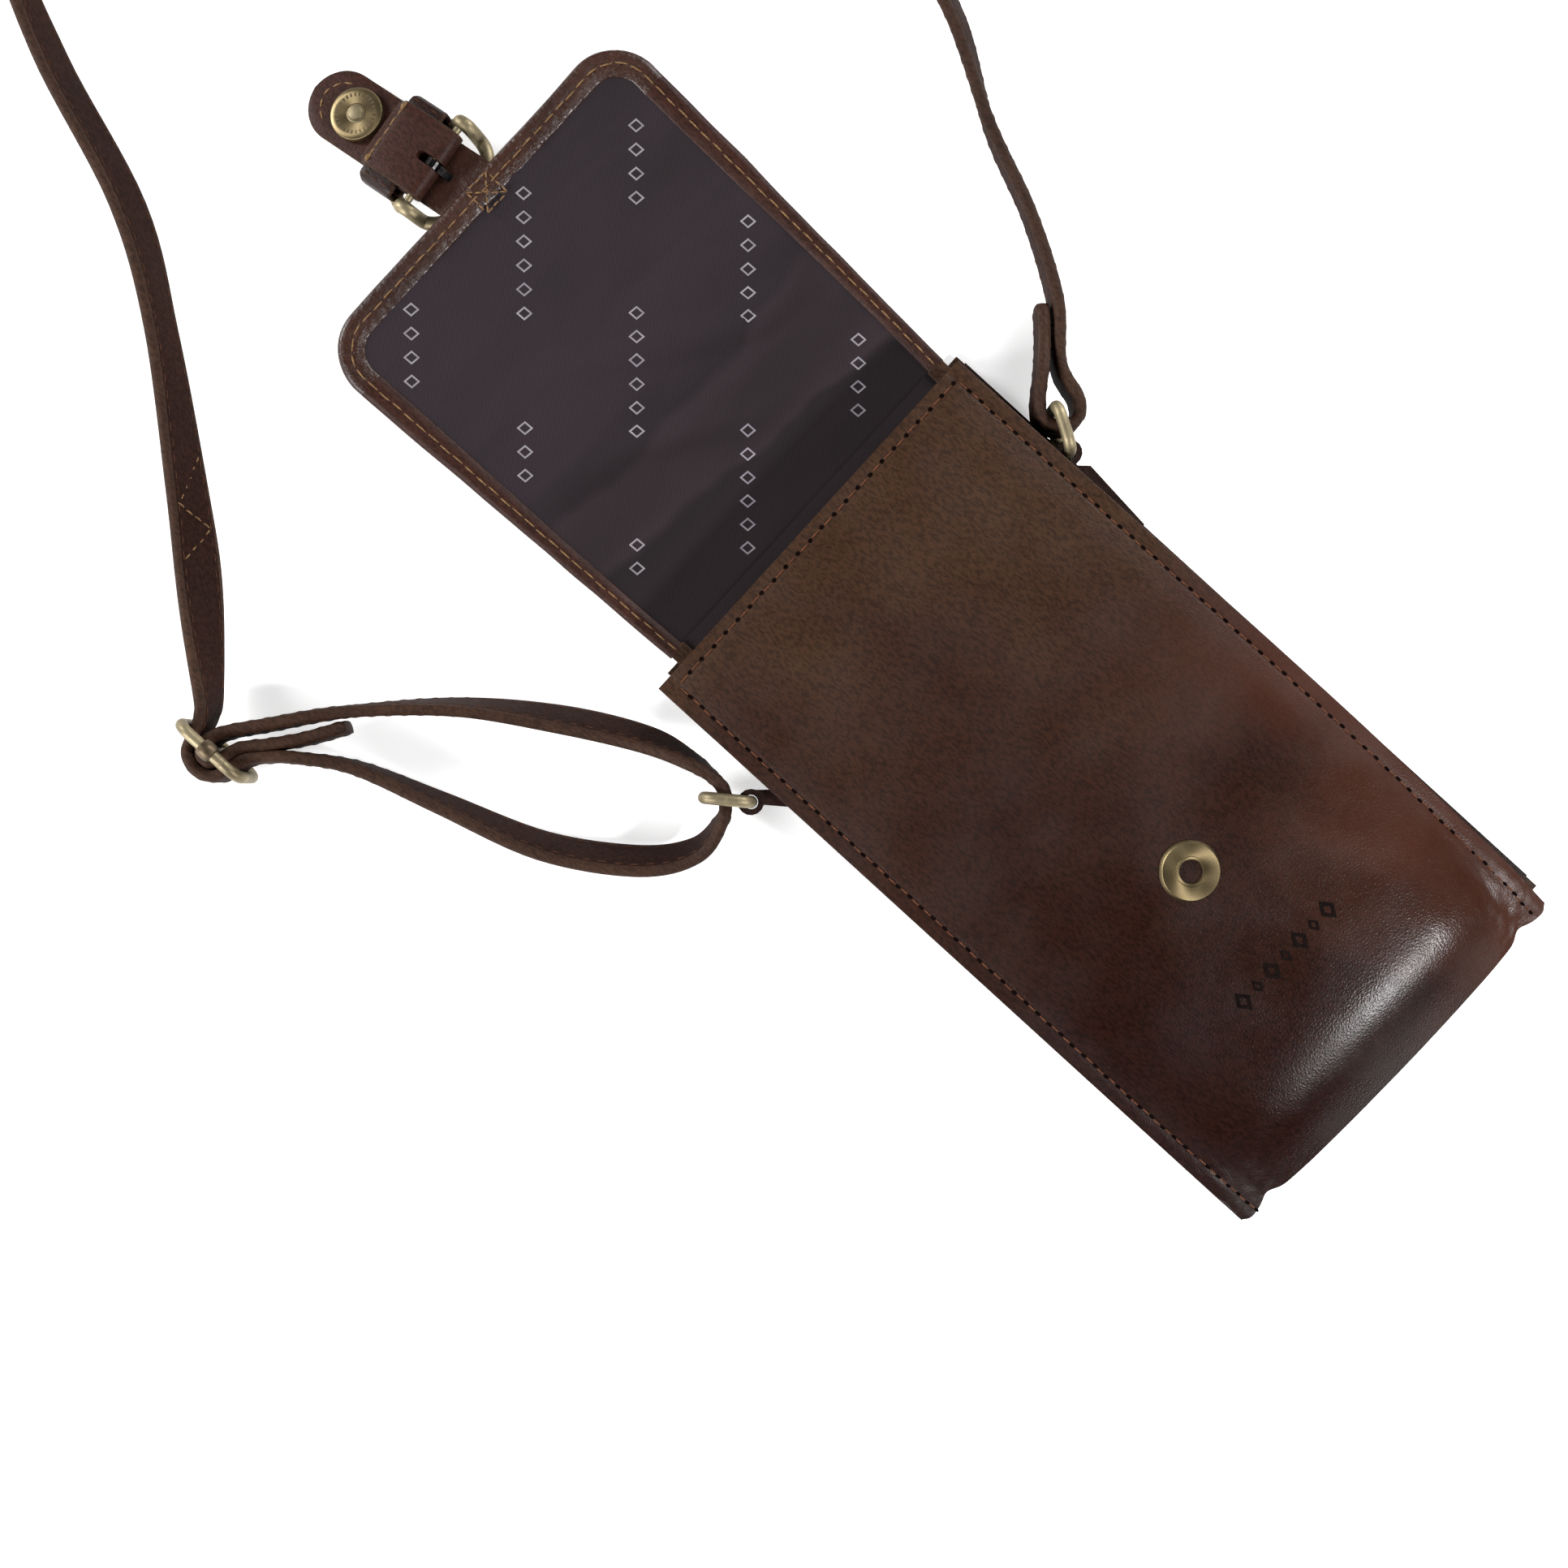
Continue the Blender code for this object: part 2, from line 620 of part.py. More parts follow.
RIGHT_SHOULDER = [
    (74.2, -5.0, 7.6), (68.2, -10.6, 9.0), (61.8, -15.4, AT_RING), (56.6, -19.2, AT_RING),
    (54.0, -22.2, AT_RING), (54.2, -25.6, AT_RING), (56.6, -28.2, AT_RING), (60.0, -28.2, AT_RING),
    (62.8, -25.2, AT_RING), (66.4, -17.2, 9.6), (77.2, -6.7, 8.0), (88.5, 11.4, FLOOR),
    (97.3, 31.7, FLOOR), (111.6, 56.5, FLOOR), (116.0, 78.0, FLOOR), (104.0, 101.0, FLOOR),
    (76.0, 124.0, FLOOR), (58.4, 140.6, FLOOR),
]


def strap_run(name, route, per_span):
    """A flat strap on edge: a ribbon as high as the strap's width, with round edges."""
    curve = bpy.data.curves.new(name, "CURVE")
    curve.dimensions = "3D"
    curve.twist_mode = "Z_UP"
    edge = STRAP_T / 2
    curve.bevel_depth = edge
    curve.extrude = STRAP_W / 2 - edge
    curve.bevel_resolution = 1
    curve.use_fill_caps = True
    points = smooth(millimetres(route), per_span)
    spline = curve.splines.new("POLY")
    spline.points.add(len(points) - 1)
    for point, place_at in zip(spline.points, points):
        point.co = (*place_at, 1)
    place(name, curve, leather)


def strap():
    strap_run("strap_left", TAIL_AND_UPPER_LEG + LOWER_LEG + LEFT_SHOULDER, 2)
    strap_run("strap_right", RIGHT_SHOULDER, 3)
    side = [(COIL_R, STRAP_W), (COIL_R, 0)]
    profile = [(0, STRAP_W)] + side + [(0, 0)]
    turned("strap_coil", profile, leather, location=(COIL_X, COIL_Y, GAP), steps=48)


def main():
    pouch_panels()
    gusset("gusset_left", -1)
    gusset("gusset_right", 1)
    snap_socket()
    flap = frame_empty("flap_frame", (BACK_SHIFT, HINGE_Y, HINGE_Z), (FLAP_RISE, 0, 0))
    flap_parts(flap)
    tab = tab_frame(flap)
    tab_parts(tab)
    buckle(tab)
    snap_stud(tab)
    ring_and_tab("left", LEFT_ROD, LEFT_RING_TURN, left_tab_outline(LEFT_ROD))
    ring_and_tab("right", RIGHT_ROD, RIGHT_RING_TURN, right_tab_outline(RIGHT_ROD))
    slide()
    strap()


main()
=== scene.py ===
"""Looks of the crossbody phone purse: leather, lining, stitching, antique brass and the strap."""
import json
import math

import bmesh
import bpy
from mathutils import Matrix, Vector, noise

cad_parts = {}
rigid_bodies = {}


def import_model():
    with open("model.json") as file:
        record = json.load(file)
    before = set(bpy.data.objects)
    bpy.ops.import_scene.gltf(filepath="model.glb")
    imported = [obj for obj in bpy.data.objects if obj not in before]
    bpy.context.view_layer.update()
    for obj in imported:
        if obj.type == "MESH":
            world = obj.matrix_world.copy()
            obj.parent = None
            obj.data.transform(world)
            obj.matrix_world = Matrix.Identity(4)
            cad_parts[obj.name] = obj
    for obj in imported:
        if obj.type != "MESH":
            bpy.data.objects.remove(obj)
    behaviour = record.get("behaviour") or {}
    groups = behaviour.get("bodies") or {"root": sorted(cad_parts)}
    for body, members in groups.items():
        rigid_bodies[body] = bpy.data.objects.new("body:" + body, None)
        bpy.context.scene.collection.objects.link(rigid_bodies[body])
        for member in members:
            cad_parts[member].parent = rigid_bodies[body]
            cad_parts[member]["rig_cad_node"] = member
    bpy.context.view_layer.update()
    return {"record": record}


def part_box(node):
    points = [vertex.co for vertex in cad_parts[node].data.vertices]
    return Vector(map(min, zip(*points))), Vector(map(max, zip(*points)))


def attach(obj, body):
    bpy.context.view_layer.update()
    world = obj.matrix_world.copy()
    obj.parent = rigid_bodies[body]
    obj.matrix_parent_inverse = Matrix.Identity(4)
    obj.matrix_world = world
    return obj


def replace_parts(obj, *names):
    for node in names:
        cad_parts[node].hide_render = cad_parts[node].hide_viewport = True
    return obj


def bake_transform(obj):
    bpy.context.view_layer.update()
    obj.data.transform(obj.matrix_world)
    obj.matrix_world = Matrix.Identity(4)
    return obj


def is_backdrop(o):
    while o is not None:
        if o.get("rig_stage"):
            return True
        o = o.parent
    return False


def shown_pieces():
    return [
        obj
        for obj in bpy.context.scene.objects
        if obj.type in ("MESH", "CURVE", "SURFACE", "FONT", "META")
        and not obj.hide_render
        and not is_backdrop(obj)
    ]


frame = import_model()

MM = 0.001

# --- sizes taken from the frame ------------------------------------------------------------------


def joint(name):
    for entry in frame["record"]["behaviour"]["joints"]:
        if entry["name"] == name:
            return entry
    raise ValueError(name)


FRONT_LOW, FRONT_HIGH = (Vector(corner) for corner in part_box("front_panel"))
BACK_LOW, BACK_HIGH = (Vector(corner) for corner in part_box("back_panel"))
HALF_W = (FRONT_HIGH.x - FRONT_LOW.x) / 2
POUCH_L = -BACK_LOW.y
BACK_SHIFT = (BACK_LOW.x + BACK_HIGH.x) / 2
BACK_T = BACK_HIGH.z
HINGE = Vector(joint("flap_root_fold")["pos_m"])
UPPER = Vector(joint("flap_upper_fold")["pos_m"])
TAB_PIVOT = Vector(joint("tab_flex")["pos_m"])
RISE = math.atan2(UPPER.z - HINGE.z, UPPER.y - HINGE.y)
LEFT_ROD = Vector(joint("left_ring_swing")["pos_m"])
RIGHT_ROD = Vector(joint("right_ring_swing")["pos_m"])
SLIDE_LOW, SLIDE_HIGH = (Vector(corner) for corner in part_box("slide_frame"))
SLIDE_CENTRE = (SLIDE_LOW + SLIDE_HIGH) / 2

# --- sizes of the leather work -------------------------------------------------------------------

MOUTH_H = 20.0 * MM  # the front's height over the table at its mouth
BULGE_H = 25.5 * MM  # and at the crest, where the bottom starts to roll over
CREST = 139.5 * MM  # distance of the crest from the mouth
FLAT_SHARE = 0.62  # share of the front's rows between mouth and crest
ROLL_SHARE = 0.78  # share of the rows past the crest that rolls over; the rest goes down to the back
ROLL_BEND = 14.5 * MM  # the roll's tightest round lies this far before its end
ROLL_SOFTNESS = 3.7 * MM
ROLL_LOW = 14.5 * MM  # height at which the roll ends
EDGE_DROP_END = 160 * MM  # distance from the mouth at which the side edges lie lowest
LEATHER = 1.5 * MM
SEAM = 3.5 * MM
MOUTH_HEM = 2.8 * MM
FURROW = 0.5 * MM  # half the width of the furrow that a row of stitches draws
FLAP_END = 107 * MM
FLAP_HALF_ROOT = 47 * MM
FLAP_HALF_END = 50.8 * MM
FLAP_CORNER = 12.5 * MM
FLAP_LEATHER = 1.3 * MM
STRAP_W = 11.4 * MM
STRAP_T = 2.8 * MM
TAB_W = 17.5 * MM
TAB_T = 1.2 * MM
TAB_YAW = math.radians(7)
TAB_PITCH = math.radians(-12) - RISE
# Distances along the tab from its pivot, then heights over the pivot.
BAR_U = 14 * MM
KEEPER_U = 23.4 * MM
FOLD_END = 30.7 * MM
SNAP_U = 37.3 * MM
TIP_U = 50.8 * MM
MAIN_MID = 1.5 * MM
MAIN_TOP = 2.1 * MM
BAR_LEVEL = 3.3 * MM
FOLD_MID = 5.1 * MM
BAR_R = 0.9 * MM

FLAP = Matrix.Translation(HINGE) @ Matrix.Rotation(RISE, 4, "X")
TAB = (
    Matrix.Translation(TAB_PIVOT)
    @ Matrix.Rotation(RISE, 4, "X")
    @ Matrix.Rotation(TAB_YAW, 4, "Z")
    @ Matrix.Rotation(TAB_PITCH, 4, "X")
)
FLAP_UP = FLAP.to_3x3() @ Vector((0, 0, 1))
TAB_UP = TAB.to_3x3() @ Vector((0, 0, 1))
TAB_ACROSS = TAB.to_3x3() @ Vector((1, 0, 0))

# --- material helpers ------------------------------------------------------------------------------


def srgb(r, g, b):
    """An 8-bit sRGB colour as the linear colour that a shader takes."""
    def linear(value):
        share = value / 255
        return share / 12.92 if share <= 0.04045 else ((share + 0.055) / 1.055) ** 2.4

    return (linear(r), linear(g), linear(b), 1.0)


def shades(*colours):
    return [srgb(*colour) for colour in colours]


class Shader:
    """A material with its Principled shader and short calls for the nodes it needs."""

    def __init__(self, name):
        self.material = bpy.data.materials.new(name)
        self.material.use_nodes = True
        self.tree = self.material.node_tree
        self.main = self.tree.nodes["Principled BSDF"]

    def node(self, kind, **settings):
        made = self.tree.nodes.new(kind)
        for key, value in settings.items():
            setattr(made, key, value)
        return made

    def link(self, source, target):
        self.tree.links.new(source, target)

    def set(self, **values):
        for key, value in values.items():
            self.main.inputs[key.replace("_", " ")].default_value = value

    def coordinates(self, scale=(1, 1, 1), turn=(0, 0, 0)):
        place = self.node("ShaderNodeTexCoord")
        mapping = self.node("ShaderNodeMapping")
        mapping.inputs["Scale"].default_value = scale
        mapping.inputs["Rotation"].default_value = turn
        self.link(place.outputs["Object"], mapping.inputs["Vector"])
        return mapping.outputs["Vector"]

    def noise(self, vector, scale, detail=4.0, roughness=0.55, distortion=0.0):
        made = self.node("ShaderNodeTexNoise")
        made.inputs["Scale"].default_value = scale
        made.inputs["Detail"].default_value = detail
        made.inputs["Roughness"].default_value = roughness
        made.inputs["Distortion"].default_value = distortion
        self.link(vector, made.inputs["Vector"])
        return made.outputs["Fac"]

    def cells(self, vector, scale):
        made = self.node("ShaderNodeTexVoronoi", feature="DISTANCE_TO_EDGE")
        made.inputs["Scale"].default_value = scale
        self.link(vector, made.inputs["Vector"])
        return made.outputs["Distance"]

    def bands(self, vector, direction, scale, distortion=0.0, detail=0.0):
        made = self.node("ShaderNodeTexWave", bands_direction=direction)
        made.inputs["Scale"].default_value = scale
        made.inputs["Distortion"].default_value = distortion
        made.inputs["Detail"].default_value = detail
        self.link(vector, made.inputs["Vector"])
        return made.outputs["Fac"]

    def ramp(self, value, *stops):
        """Each stop is (position, colour)."""
        made = self.node("ShaderNodeValToRGB")
        elements = made.color_ramp.elements
        while len(elements) < len(stops):
            elements.new(0.5)
        for element, (position, colour) in zip(elements, stops):
            element.position = position
            element.color = colour
        self.link(value, made.inputs["Fac"])
        return made.outputs["Color"]

    def span(self, value, low, high, to_low=0.0, to_high=1.0):
        made = self.node("ShaderNodeMapRange")
        made.inputs["From Min"].default_value = low
        made.inputs["From Max"].default_value = high
        made.inputs["To Min"].default_value = to_low
        made.inputs["To Max"].default_value = to_high
        self.link(value, made.inputs["Value"])
        return made.outputs["Result"]

    def maths(self, operation, first, second):
        made = self.node("ShaderNodeMath", operation=operation)
        for socket, value in zip(made.inputs, (first, second)):
            if isinstance(value, (int, float)):
                socket.default_value = value
            else:
                self.link(value, socket)
        return made.outputs["Value"]

    def mix(self, share, first, second, blend="MIX"):
        made = self.node("ShaderNodeMix", data_type="RGBA", blend_type=blend)
        for socket, value in ((made.inputs[0], share), (made.inputs[6], first), (made.inputs[7], second)):
            if isinstance(value, (int, float, tuple)):
                socket.default_value = value
            else:
                self.link(value, socket)
        return made.outputs[2]

    def bump(self, height, strength, distance, under=None):
        made = self.node("ShaderNodeBump")
        made.inputs["Strength"].default_value = strength
        made.inputs["Distance"].default_value = distance
        self.link(height, made.inputs["Height"])
        if under is not None:
            self.link(under, made.inputs["Normal"])
        return made.outputs["Normal"]


def leather_material(name, colours, gloss=0.42, grain=1.0, pull=0.8, shine=0.22):
    """Fine-grained pull-up leather in three colours, light first: small pores and grain, uneven gloss."""
    light, mid, dark = colours
    s = Shader(name)
    place = s.coordinates()
    cloud = s.noise(place, 46, 4, 0.6, 0.3)
    stretched = s.coordinates(scale=(1.0, 0.45, 1.0), turn=(0, 0, math.radians(35)))
    speckle = s.noise(stretched, 1500, 3, 0.65)
    base = s.ramp(cloud, (0.15, dark), (0.50, mid), (0.85, light))
    fleck = s.span(speckle, 0.38, 0.60, 0.42, 1.05)
    tinted = s.mix(1.0, base, s.ramp(fleck, (0.0, (0, 0, 0, 1)), (1.0, (1, 1, 1, 1))), "MULTIPLY")
    s.link(s.mix(pull, base, tinted), s.main.inputs["Base Color"])
    wear = s.span(s.noise(place, 60, 4), 0.3, 0.7, gloss - 0.07, gloss + 0.10)
    s.link(wear, s.main.inputs["Roughness"])
    pebble = s.cells(place, 1250 * grain)
    pores = s.noise(place, 2600 * grain, 3)
    crease = s.noise(place, 620 * grain, 4, 0.6, 0.4)
    fine = s.bump(pebble, 0.28, 0.20 * MM)
    finer = s.bump(pores, 0.30, 0.15 * MM, fine)
    s.link(s.bump(crease, 0.20, 0.11 * MM, finer), s.main.inputs["Normal"])
    s.set(Specular_IOR_Level=shine)
    return s


def plain_leather(name, *colours, **looks):
    return leather_material(name, shades(*colours), **looks).material


BROWNS = shades((60, 41, 25), (55, 36, 23), (49, 31, 21))
RUST = srgb(70, 38, 26)


def pouch_leather():
    """The front's leather: brown by the mouth, wine-dark low down, rusty along the right seam."""
    s = leather_material("front_leather", BROWNS, 0.44, pull=0.85, shine=0.24)
    place = s.node("ShaderNodeTexCoord").outputs["Object"]
    split = s.node("ShaderNodeSeparateXYZ")
    s.link(place, split.inputs["Vector"])
    base = s.main.inputs["Base Color"].links[0].from_socket
    # Deeper and redder towards the bottom, on a slant, with a drifting border.
    drift = s.span(s.noise(place, 14, 3, 0.5, 0.5), 0.3, 0.7, -28 * MM, 28 * MM)
    along = s.maths("ADD", split.outputs["Y"], drift)
    slant = s.maths("ADD", along, s.maths("MULTIPLY", split.outputs["X"], 0.42))
    deeper = s.ramp(
        s.span(slant, -20 * MM, -160 * MM), (0.0, (1.12, 1.06, 1.04, 1)), (0.21, (0.82, 0.68, 0.76, 1)),
        (0.47, (0.66, 0.47, 0.54, 1)), (1.0, (0.46, 0.30, 0.40, 1)),
    )
    wine = s.mix(1.0, base, deeper, "MULTIPLY")
    # Rusty along the lower right seam.
    right = s.maths("ADD", split.outputs["X"], drift)
    edge = s.maths("MULTIPLY", s.span(right, 22 * MM, 48 * MM), s.span(along, -45 * MM, -110 * MM))
    rusty = s.mix(s.maths("MULTIPLY", edge, 0.72), wine, RUST)
    s.link(rusty, s.main.inputs["Base Color"])
    # Polished by wear low down, away from the seams.
    worn = s.main.inputs["Roughness"].links[0].from_socket
    inner = s.span(s.maths("ABSOLUTE", split.outputs["X"], 0.0), 46 * MM, 40 * MM, 0.25, 1.0)
    polish = s.maths("MULTIPLY", s.maths("MULTIPLY", s.span(along, -85 * MM, -140 * MM), 0.18), inner)
    s.link(s.maths("SUBTRACT", worn, polish), s.main.inputs["Roughness"])
    return s.material


def turned_leather():
    """Thin leather turned over an edge: crinkled, and polished by wear."""
    colours = shades((66, 41, 31), (54, 32, 25), (42, 25, 21))
    s = leather_material("turned_leather", colours, 0.34, 0.75, 0.5, 0.28)
    s.set(Coat_Weight=0.20, Coat_Roughness=0.18)
    crinkle = s.noise(s.coordinates(), 1000, 3, 0.6)
    grain = s.main.inputs["Normal"].links[0].from_socket
    s.link(s.bump(crinkle, 0.7, 0.5 * MM, grain), s.main.inputs["Normal"])
    return s.material


def lining_material():
    """Fine twill: diagonal ribs, dull with a faint sheen, in the shade of the pouch near the mouth."""
    s = Shader("twill_lining")
    place = s.coordinates(turn=(0, 0, math.radians(42)))
    rib = s.bands(place, "X", 620, 0.6, 1)
    cross = s.bands(place, "Y", 900)
    weave = s.maths("MULTIPLY", rib, s.span(cross, 0, 1, 0.6, 1.0))
    thread = s.ramp(weave, (0.1, srgb(28, 21, 26)), (0.9, srgb(46, 36, 42)))
    # Cloudy wear, and faint slanting bands of painted shade where the cloth folds.
    cloud = s.ramp(s.noise(place, 18, 4), (0.35, (0.82, 0.82, 0.84, 1)), (0.7, (1.05, 1.02, 1.05, 1)))
    drawn = s.coordinates(scale=(0.35, 1.6, 1.0), turn=(0, 0, math.radians(-24)))
    folds = s.ramp(s.noise(drawn, 38, 2, 0.5, 0.4), (0.36, (0.62, 0.60, 0.60, 1)), (0.58, (1, 1, 1, 1)))
    worn = s.mix(1.0, thread, cloud, "MULTIPLY")
    fold_shaded = s.mix(0.75, worn, s.mix(1.0, worn, folds, "MULTIPLY"))
    split = s.node("ShaderNodeSeparateXYZ")
    s.link(s.node("ShaderNodeTexCoord").outputs["Object"], split.inputs["Vector"])
    # Painted shade from the mouth to the first loose fold, a painted highlight on its edge, both again at the
    # second.
    drift = s.span(s.noise(s.coordinates(), 30, 2), 0.3, 0.7, -3.5 * MM, 3.5 * MM)
    level = s.maths("ADD", split.outputs["Y"], drift)
    slant = s.maths("ADD", level, s.maths("MULTIPLY", split.outputs["X"], 0.14))
    shade = s.ramp(
        s.span(slant, 4 * MM, 34 * MM), (0.0, (0.80, 0.66, 0.62, 1)), (0.35, (0.60, 0.50, 0.50, 1)),
        (0.60, (0.44, 0.37, 0.39, 1)), (0.67, (1.12, 1.05, 1.0, 1)), (0.85, (1.0, 0.96, 0.94, 1)),
    )
    second = s.ramp(
        s.span(level, 34 * MM, 66 * MM), (0.0, (1.0, 0.96, 0.92, 1)), (0.21, (1.10, 1.04, 1.0, 1)),
        (0.28, (0.54, 0.48, 0.51, 1)), (0.52, (0.80, 0.75, 0.78, 1)), (0.9, (1, 1, 1, 1)),
    )
    shaded = s.mix(1.0, fold_shaded, shade, "MULTIPLY")
    s.link(s.mix(0.8, shaded, s.mix(1.0, shaded, second, "MULTIPLY")), s.main.inputs["Base Color"])
    s.link(s.bump(weave, 0.35, 0.12 * MM), s.main.inputs["Normal"])
    s.set(Roughness=0.82, Specular_IOR_Level=0.25, Sheen_Weight=0.10, Sheen_Roughness=0.45)
    s.set(Sheen_Tint=srgb(150, 135, 160))
    return s.material


def brass_material(name, light, dark, roughness):
    """Antique brass: dull yellow, browner in patches, with fine wear."""
    s = Shader(name)
    place = s.coordinates()
    patch = s.noise(place, 130, 5, 0.65, 0.5)
    s.link(s.ramp(patch, (0.35, dark), (0.6, light)), s.main.inputs["Base Color"])
    worn = s.noise(place, 900, 4, 0.7)
    s.link(s.span(worn, 0.3, 0.7, roughness - 0.06, roughness + 0.12), s.main.inputs["Roughness"])
    s.link(s.bump(worn, 0.10, 0.1 * MM), s.main.inputs["Normal"])
    s.set(Metallic=0.78)
    return s.material


def brushed_disc_material(name, light, dark, roughness):
    """Turned brass: fine rays round the disc's own axis."""
    s = Shader(name)
    place = s.node("ShaderNodeTexCoord").outputs["Object"]
    split = s.node("ShaderNodeSeparateXYZ")
    s.link(place, split.inputs["Vector"])
    angle = s.maths("ARCTAN2", split.outputs["Y"], split.outputs["X"])
    wide = s.noise(place, 90, 2)
    ray = s.node("ShaderNodeCombineXYZ")
    s.link(s.maths("MULTIPLY", angle, 40.0), ray.inputs["X"])
    streak = s.noise(ray.outputs["Vector"], 1.0, 3, 0.7)
    colour = s.ramp(s.maths("MULTIPLY", s.maths("ADD", streak, wide), 0.5), (0.35, dark), (0.62, light))
    s.link(colour, s.main.inputs["Base Color"])
    s.link(s.span(streak, 0.3, 0.7, roughness - 0.04, roughness + 0.06), s.main.inputs["Roughness"])
    s.link(s.bump(streak, 0.10, 0.04 * MM), s.main.inputs["Normal"])
    around = s.node("ShaderNodeTangent", direction_type="RADIAL", axis="Z")
    s.link(around.outputs["Tangent"], s.main.inputs["Tangent"])
    s.set(Metallic=0.92, Anisotropic=0.75)
    return s.material


def thread_material(name, light, dark):
    """Waxed thread with a fine twist."""
    s = Shader(name)
    place = s.coordinates()
    twist = s.noise(place, 1700, 2)
    s.link(s.ramp(twist, (0.35, dark), (0.65, light)), s.main.inputs["Base Color"])
    s.link(s.bump(twist, 0.5, 0.2 * MM), s.main.inputs["Normal"])
    s.set(Roughness=0.75, Specular_IOR_Level=0.10)
    return s.material


def plain_noise_material(name, light, dark, roughness, metallic=0.0, scale=300, shine=0.4):
    """Two close colours in a fine grain."""
    s = Shader(name)
    grain = s.noise(s.coordinates(), scale, 4)
    s.link(s.ramp(grain, (0.35, dark), (0.65, light)), s.main.inputs["Base Color"])
    s.link(s.bump(grain, 0.2, 0.1 * MM), s.main.inputs["Normal"])
    s.set(Roughness=roughness, Metallic=metallic, Specular_IOR_Level=shine)
    return s.material


FRONT_LEATHER = pouch_leather()
FLAP_SKIN = leather_material("flap_leather", BROWNS).material
TAB_LEATHER = plain_leather("tab_leather", (64, 39, 31), (55, 32, 26), (46, 27, 22), gloss=0.46, shine=0.13)
DARK_LEATHER = plain_leather("side_leather", (54, 35, 28), (40, 23, 19), (36, 22, 20))
STRAP_LEATHER = plain_leather(
    "strap_leather", (49, 30, 23), (42, 25, 20), (33, 20, 16), gloss=0.7, shine=0.05,
)
EDGE_PAINT = plain_leather("painted_edge", (66, 45, 33), (57, 38, 28), (47, 31, 24), gloss=0.62, shine=0.12)
# Pressed marks: leather darkened by pressing, with painted shade for the depth of the lines.
PRESSED = plain_leather("pressed_leather", (24, 15, 13), (18, 11, 10), (13, 8, 7), gloss=0.7, shine=0.04)
GLOSSY_LEATHER = turned_leather()
LINING = lining_material()
BRASS = brass_material("antique_brass", srgb(150, 138, 110), srgb(108, 97, 75), 0.49)
DARK_BRASS = brass_material("worn_brass", srgb(112, 98, 76), srgb(70, 58, 44), 0.42)
SNAP_BRASS = brushed_disc_material("snap_brass", srgb(140, 124, 92), srgb(104, 90, 64), 0.40)
THREAD = thread_material("tan_thread", srgb(104, 64, 44), srgb(72, 44, 32))
BRIGHT_THREAD = thread_material("golden_thread", srgb(132, 104, 72), srgb(94, 70, 48))
DARK_THREAD = thread_material("brown_thread", srgb(84, 54, 38), srgb(60, 38, 28))
# Needle holes: flat near-black discs of painted shade.
HOLE_SHADE = plain_noise_material("needle_hole", srgb(16, 10, 9), srgb(8, 5, 5), 0.95, shine=0.0)
DARK_METAL = plain_noise_material("dark_nickel", srgb(60, 58, 58), srgb(30, 29, 30), 0.28, 0.9, 700)
MAGNET = plain_noise_material("plated_magnet", srgb(128, 116, 104), srgb(92, 82, 74), 0.45, 0.9, 500)
PRINT = plain_noise_material("pale_print", srgb(134, 129, 134), srgb(112, 107, 113), 0.8)

# --- mesh helpers ----------------------------------------------------------------------------------


def make(name, points, faces, paints, body, indices=()):
    """A named mesh that rides on a body; indices picks each face's paint."""
    mesh = bpy.data.meshes.new(name)
    mesh.from_pydata([tuple(p) for p in points], [], faces)
    for paint in paints:
        mesh.materials.append(paint)
    for polygon, index in zip(mesh.polygons, indices):
        polygon.material_index = index
    mesh.shade_smooth()
    made = bpy.data.objects.new(name, mesh)
    bpy.context.scene.collection.objects.link(made)
    fix_normals(made)
    if body:
        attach(made, body)
    return made


def fix_normals(made):
    work = bmesh.new()
    work.from_mesh(made.data)
    bmesh.ops.recalc_face_normals(work, faces=work.faces)
    work.to_mesh(made.data)
    work.free()


def even(count):
    return [i / count for i in range(count + 1)]


def band_faces(rings, sides, base=0, closed=False):
    """Faces between neighbouring rings of points; closed also joins the last ring to the first."""
    faces = []
    for j in range(rings if closed else rings - 1):
        near = base + j * sides
        far = base + (j + 1) % rings * sides
        for k in range(sides):
            n = (k + 1) % sides
            faces.append((near + k, near + n, far + n, far + k))
    return faces


def end_caps(rings, sides, base=0):
    last = base + (rings - 1) * sides
    return [tuple(reversed(range(base, base + sides))), tuple(range(last, last + sides))]


def sheet_mesh(name, surface, columns, shares, thickness, paints, body):
    """A sheet with a rounded rim: surface(u, v) is its outer face, u from 0 to 1 and v out of shares."""
    outer = [[surface(u, v) for u in even(columns)] for v in shares]
    rows = len(shares) - 1
    points = []
    inner = []
    for j in range(rows + 1):
        for i in range(columns + 1):
            du = outer[j][min(columns, i + 1)] - outer[j][max(0, i - 1)]
            dv = outer[min(rows, j + 1)][i] - outer[max(0, j - 1)][i]
            points.append(outer[j][i])
            inner.append(outer[j][i] - du.cross(dv).normalized() * thickness)
    count = len(points)

    def at(i, j):
        return j * (columns + 1) + i

    faces = []
    for j in range(rows):
        for i in range(columns):
            a, b, c, d = at(i, j), at(i + 1, j), at(i + 1, j + 1), at(i, j + 1)
            faces.append((a, b, c, d))
            faces.append((a + count, d + count, c + count, b + count))
    rim = [(at(i, 0), at(i + 1, 0)) for i in range(columns)]
    rim += [(at(columns, j), at(columns, j + 1)) for j in range(rows)]
    rim += [(at(i + 1, rows), at(i, rows)) for i in reversed(range(columns))]
    rim += [(at(0, j + 1), at(0, j)) for j in reversed(range(rows))]
    indices = [0] * len(faces) + [1] * len(rim)
    faces += [(b, a, a + count, b + count) for a, b in rim]
    made = make(name, points + inner, faces, paints, None, indices)
    bevel = made.modifiers.new("rim", "BEVEL")
    bevel.width = thickness * 0.28
    bevel.segments = 2
    bevel.limit_method = "ANGLE"
    bevel.angle_limit = math.radians(50)
    if body:
        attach(made, body)
    return made


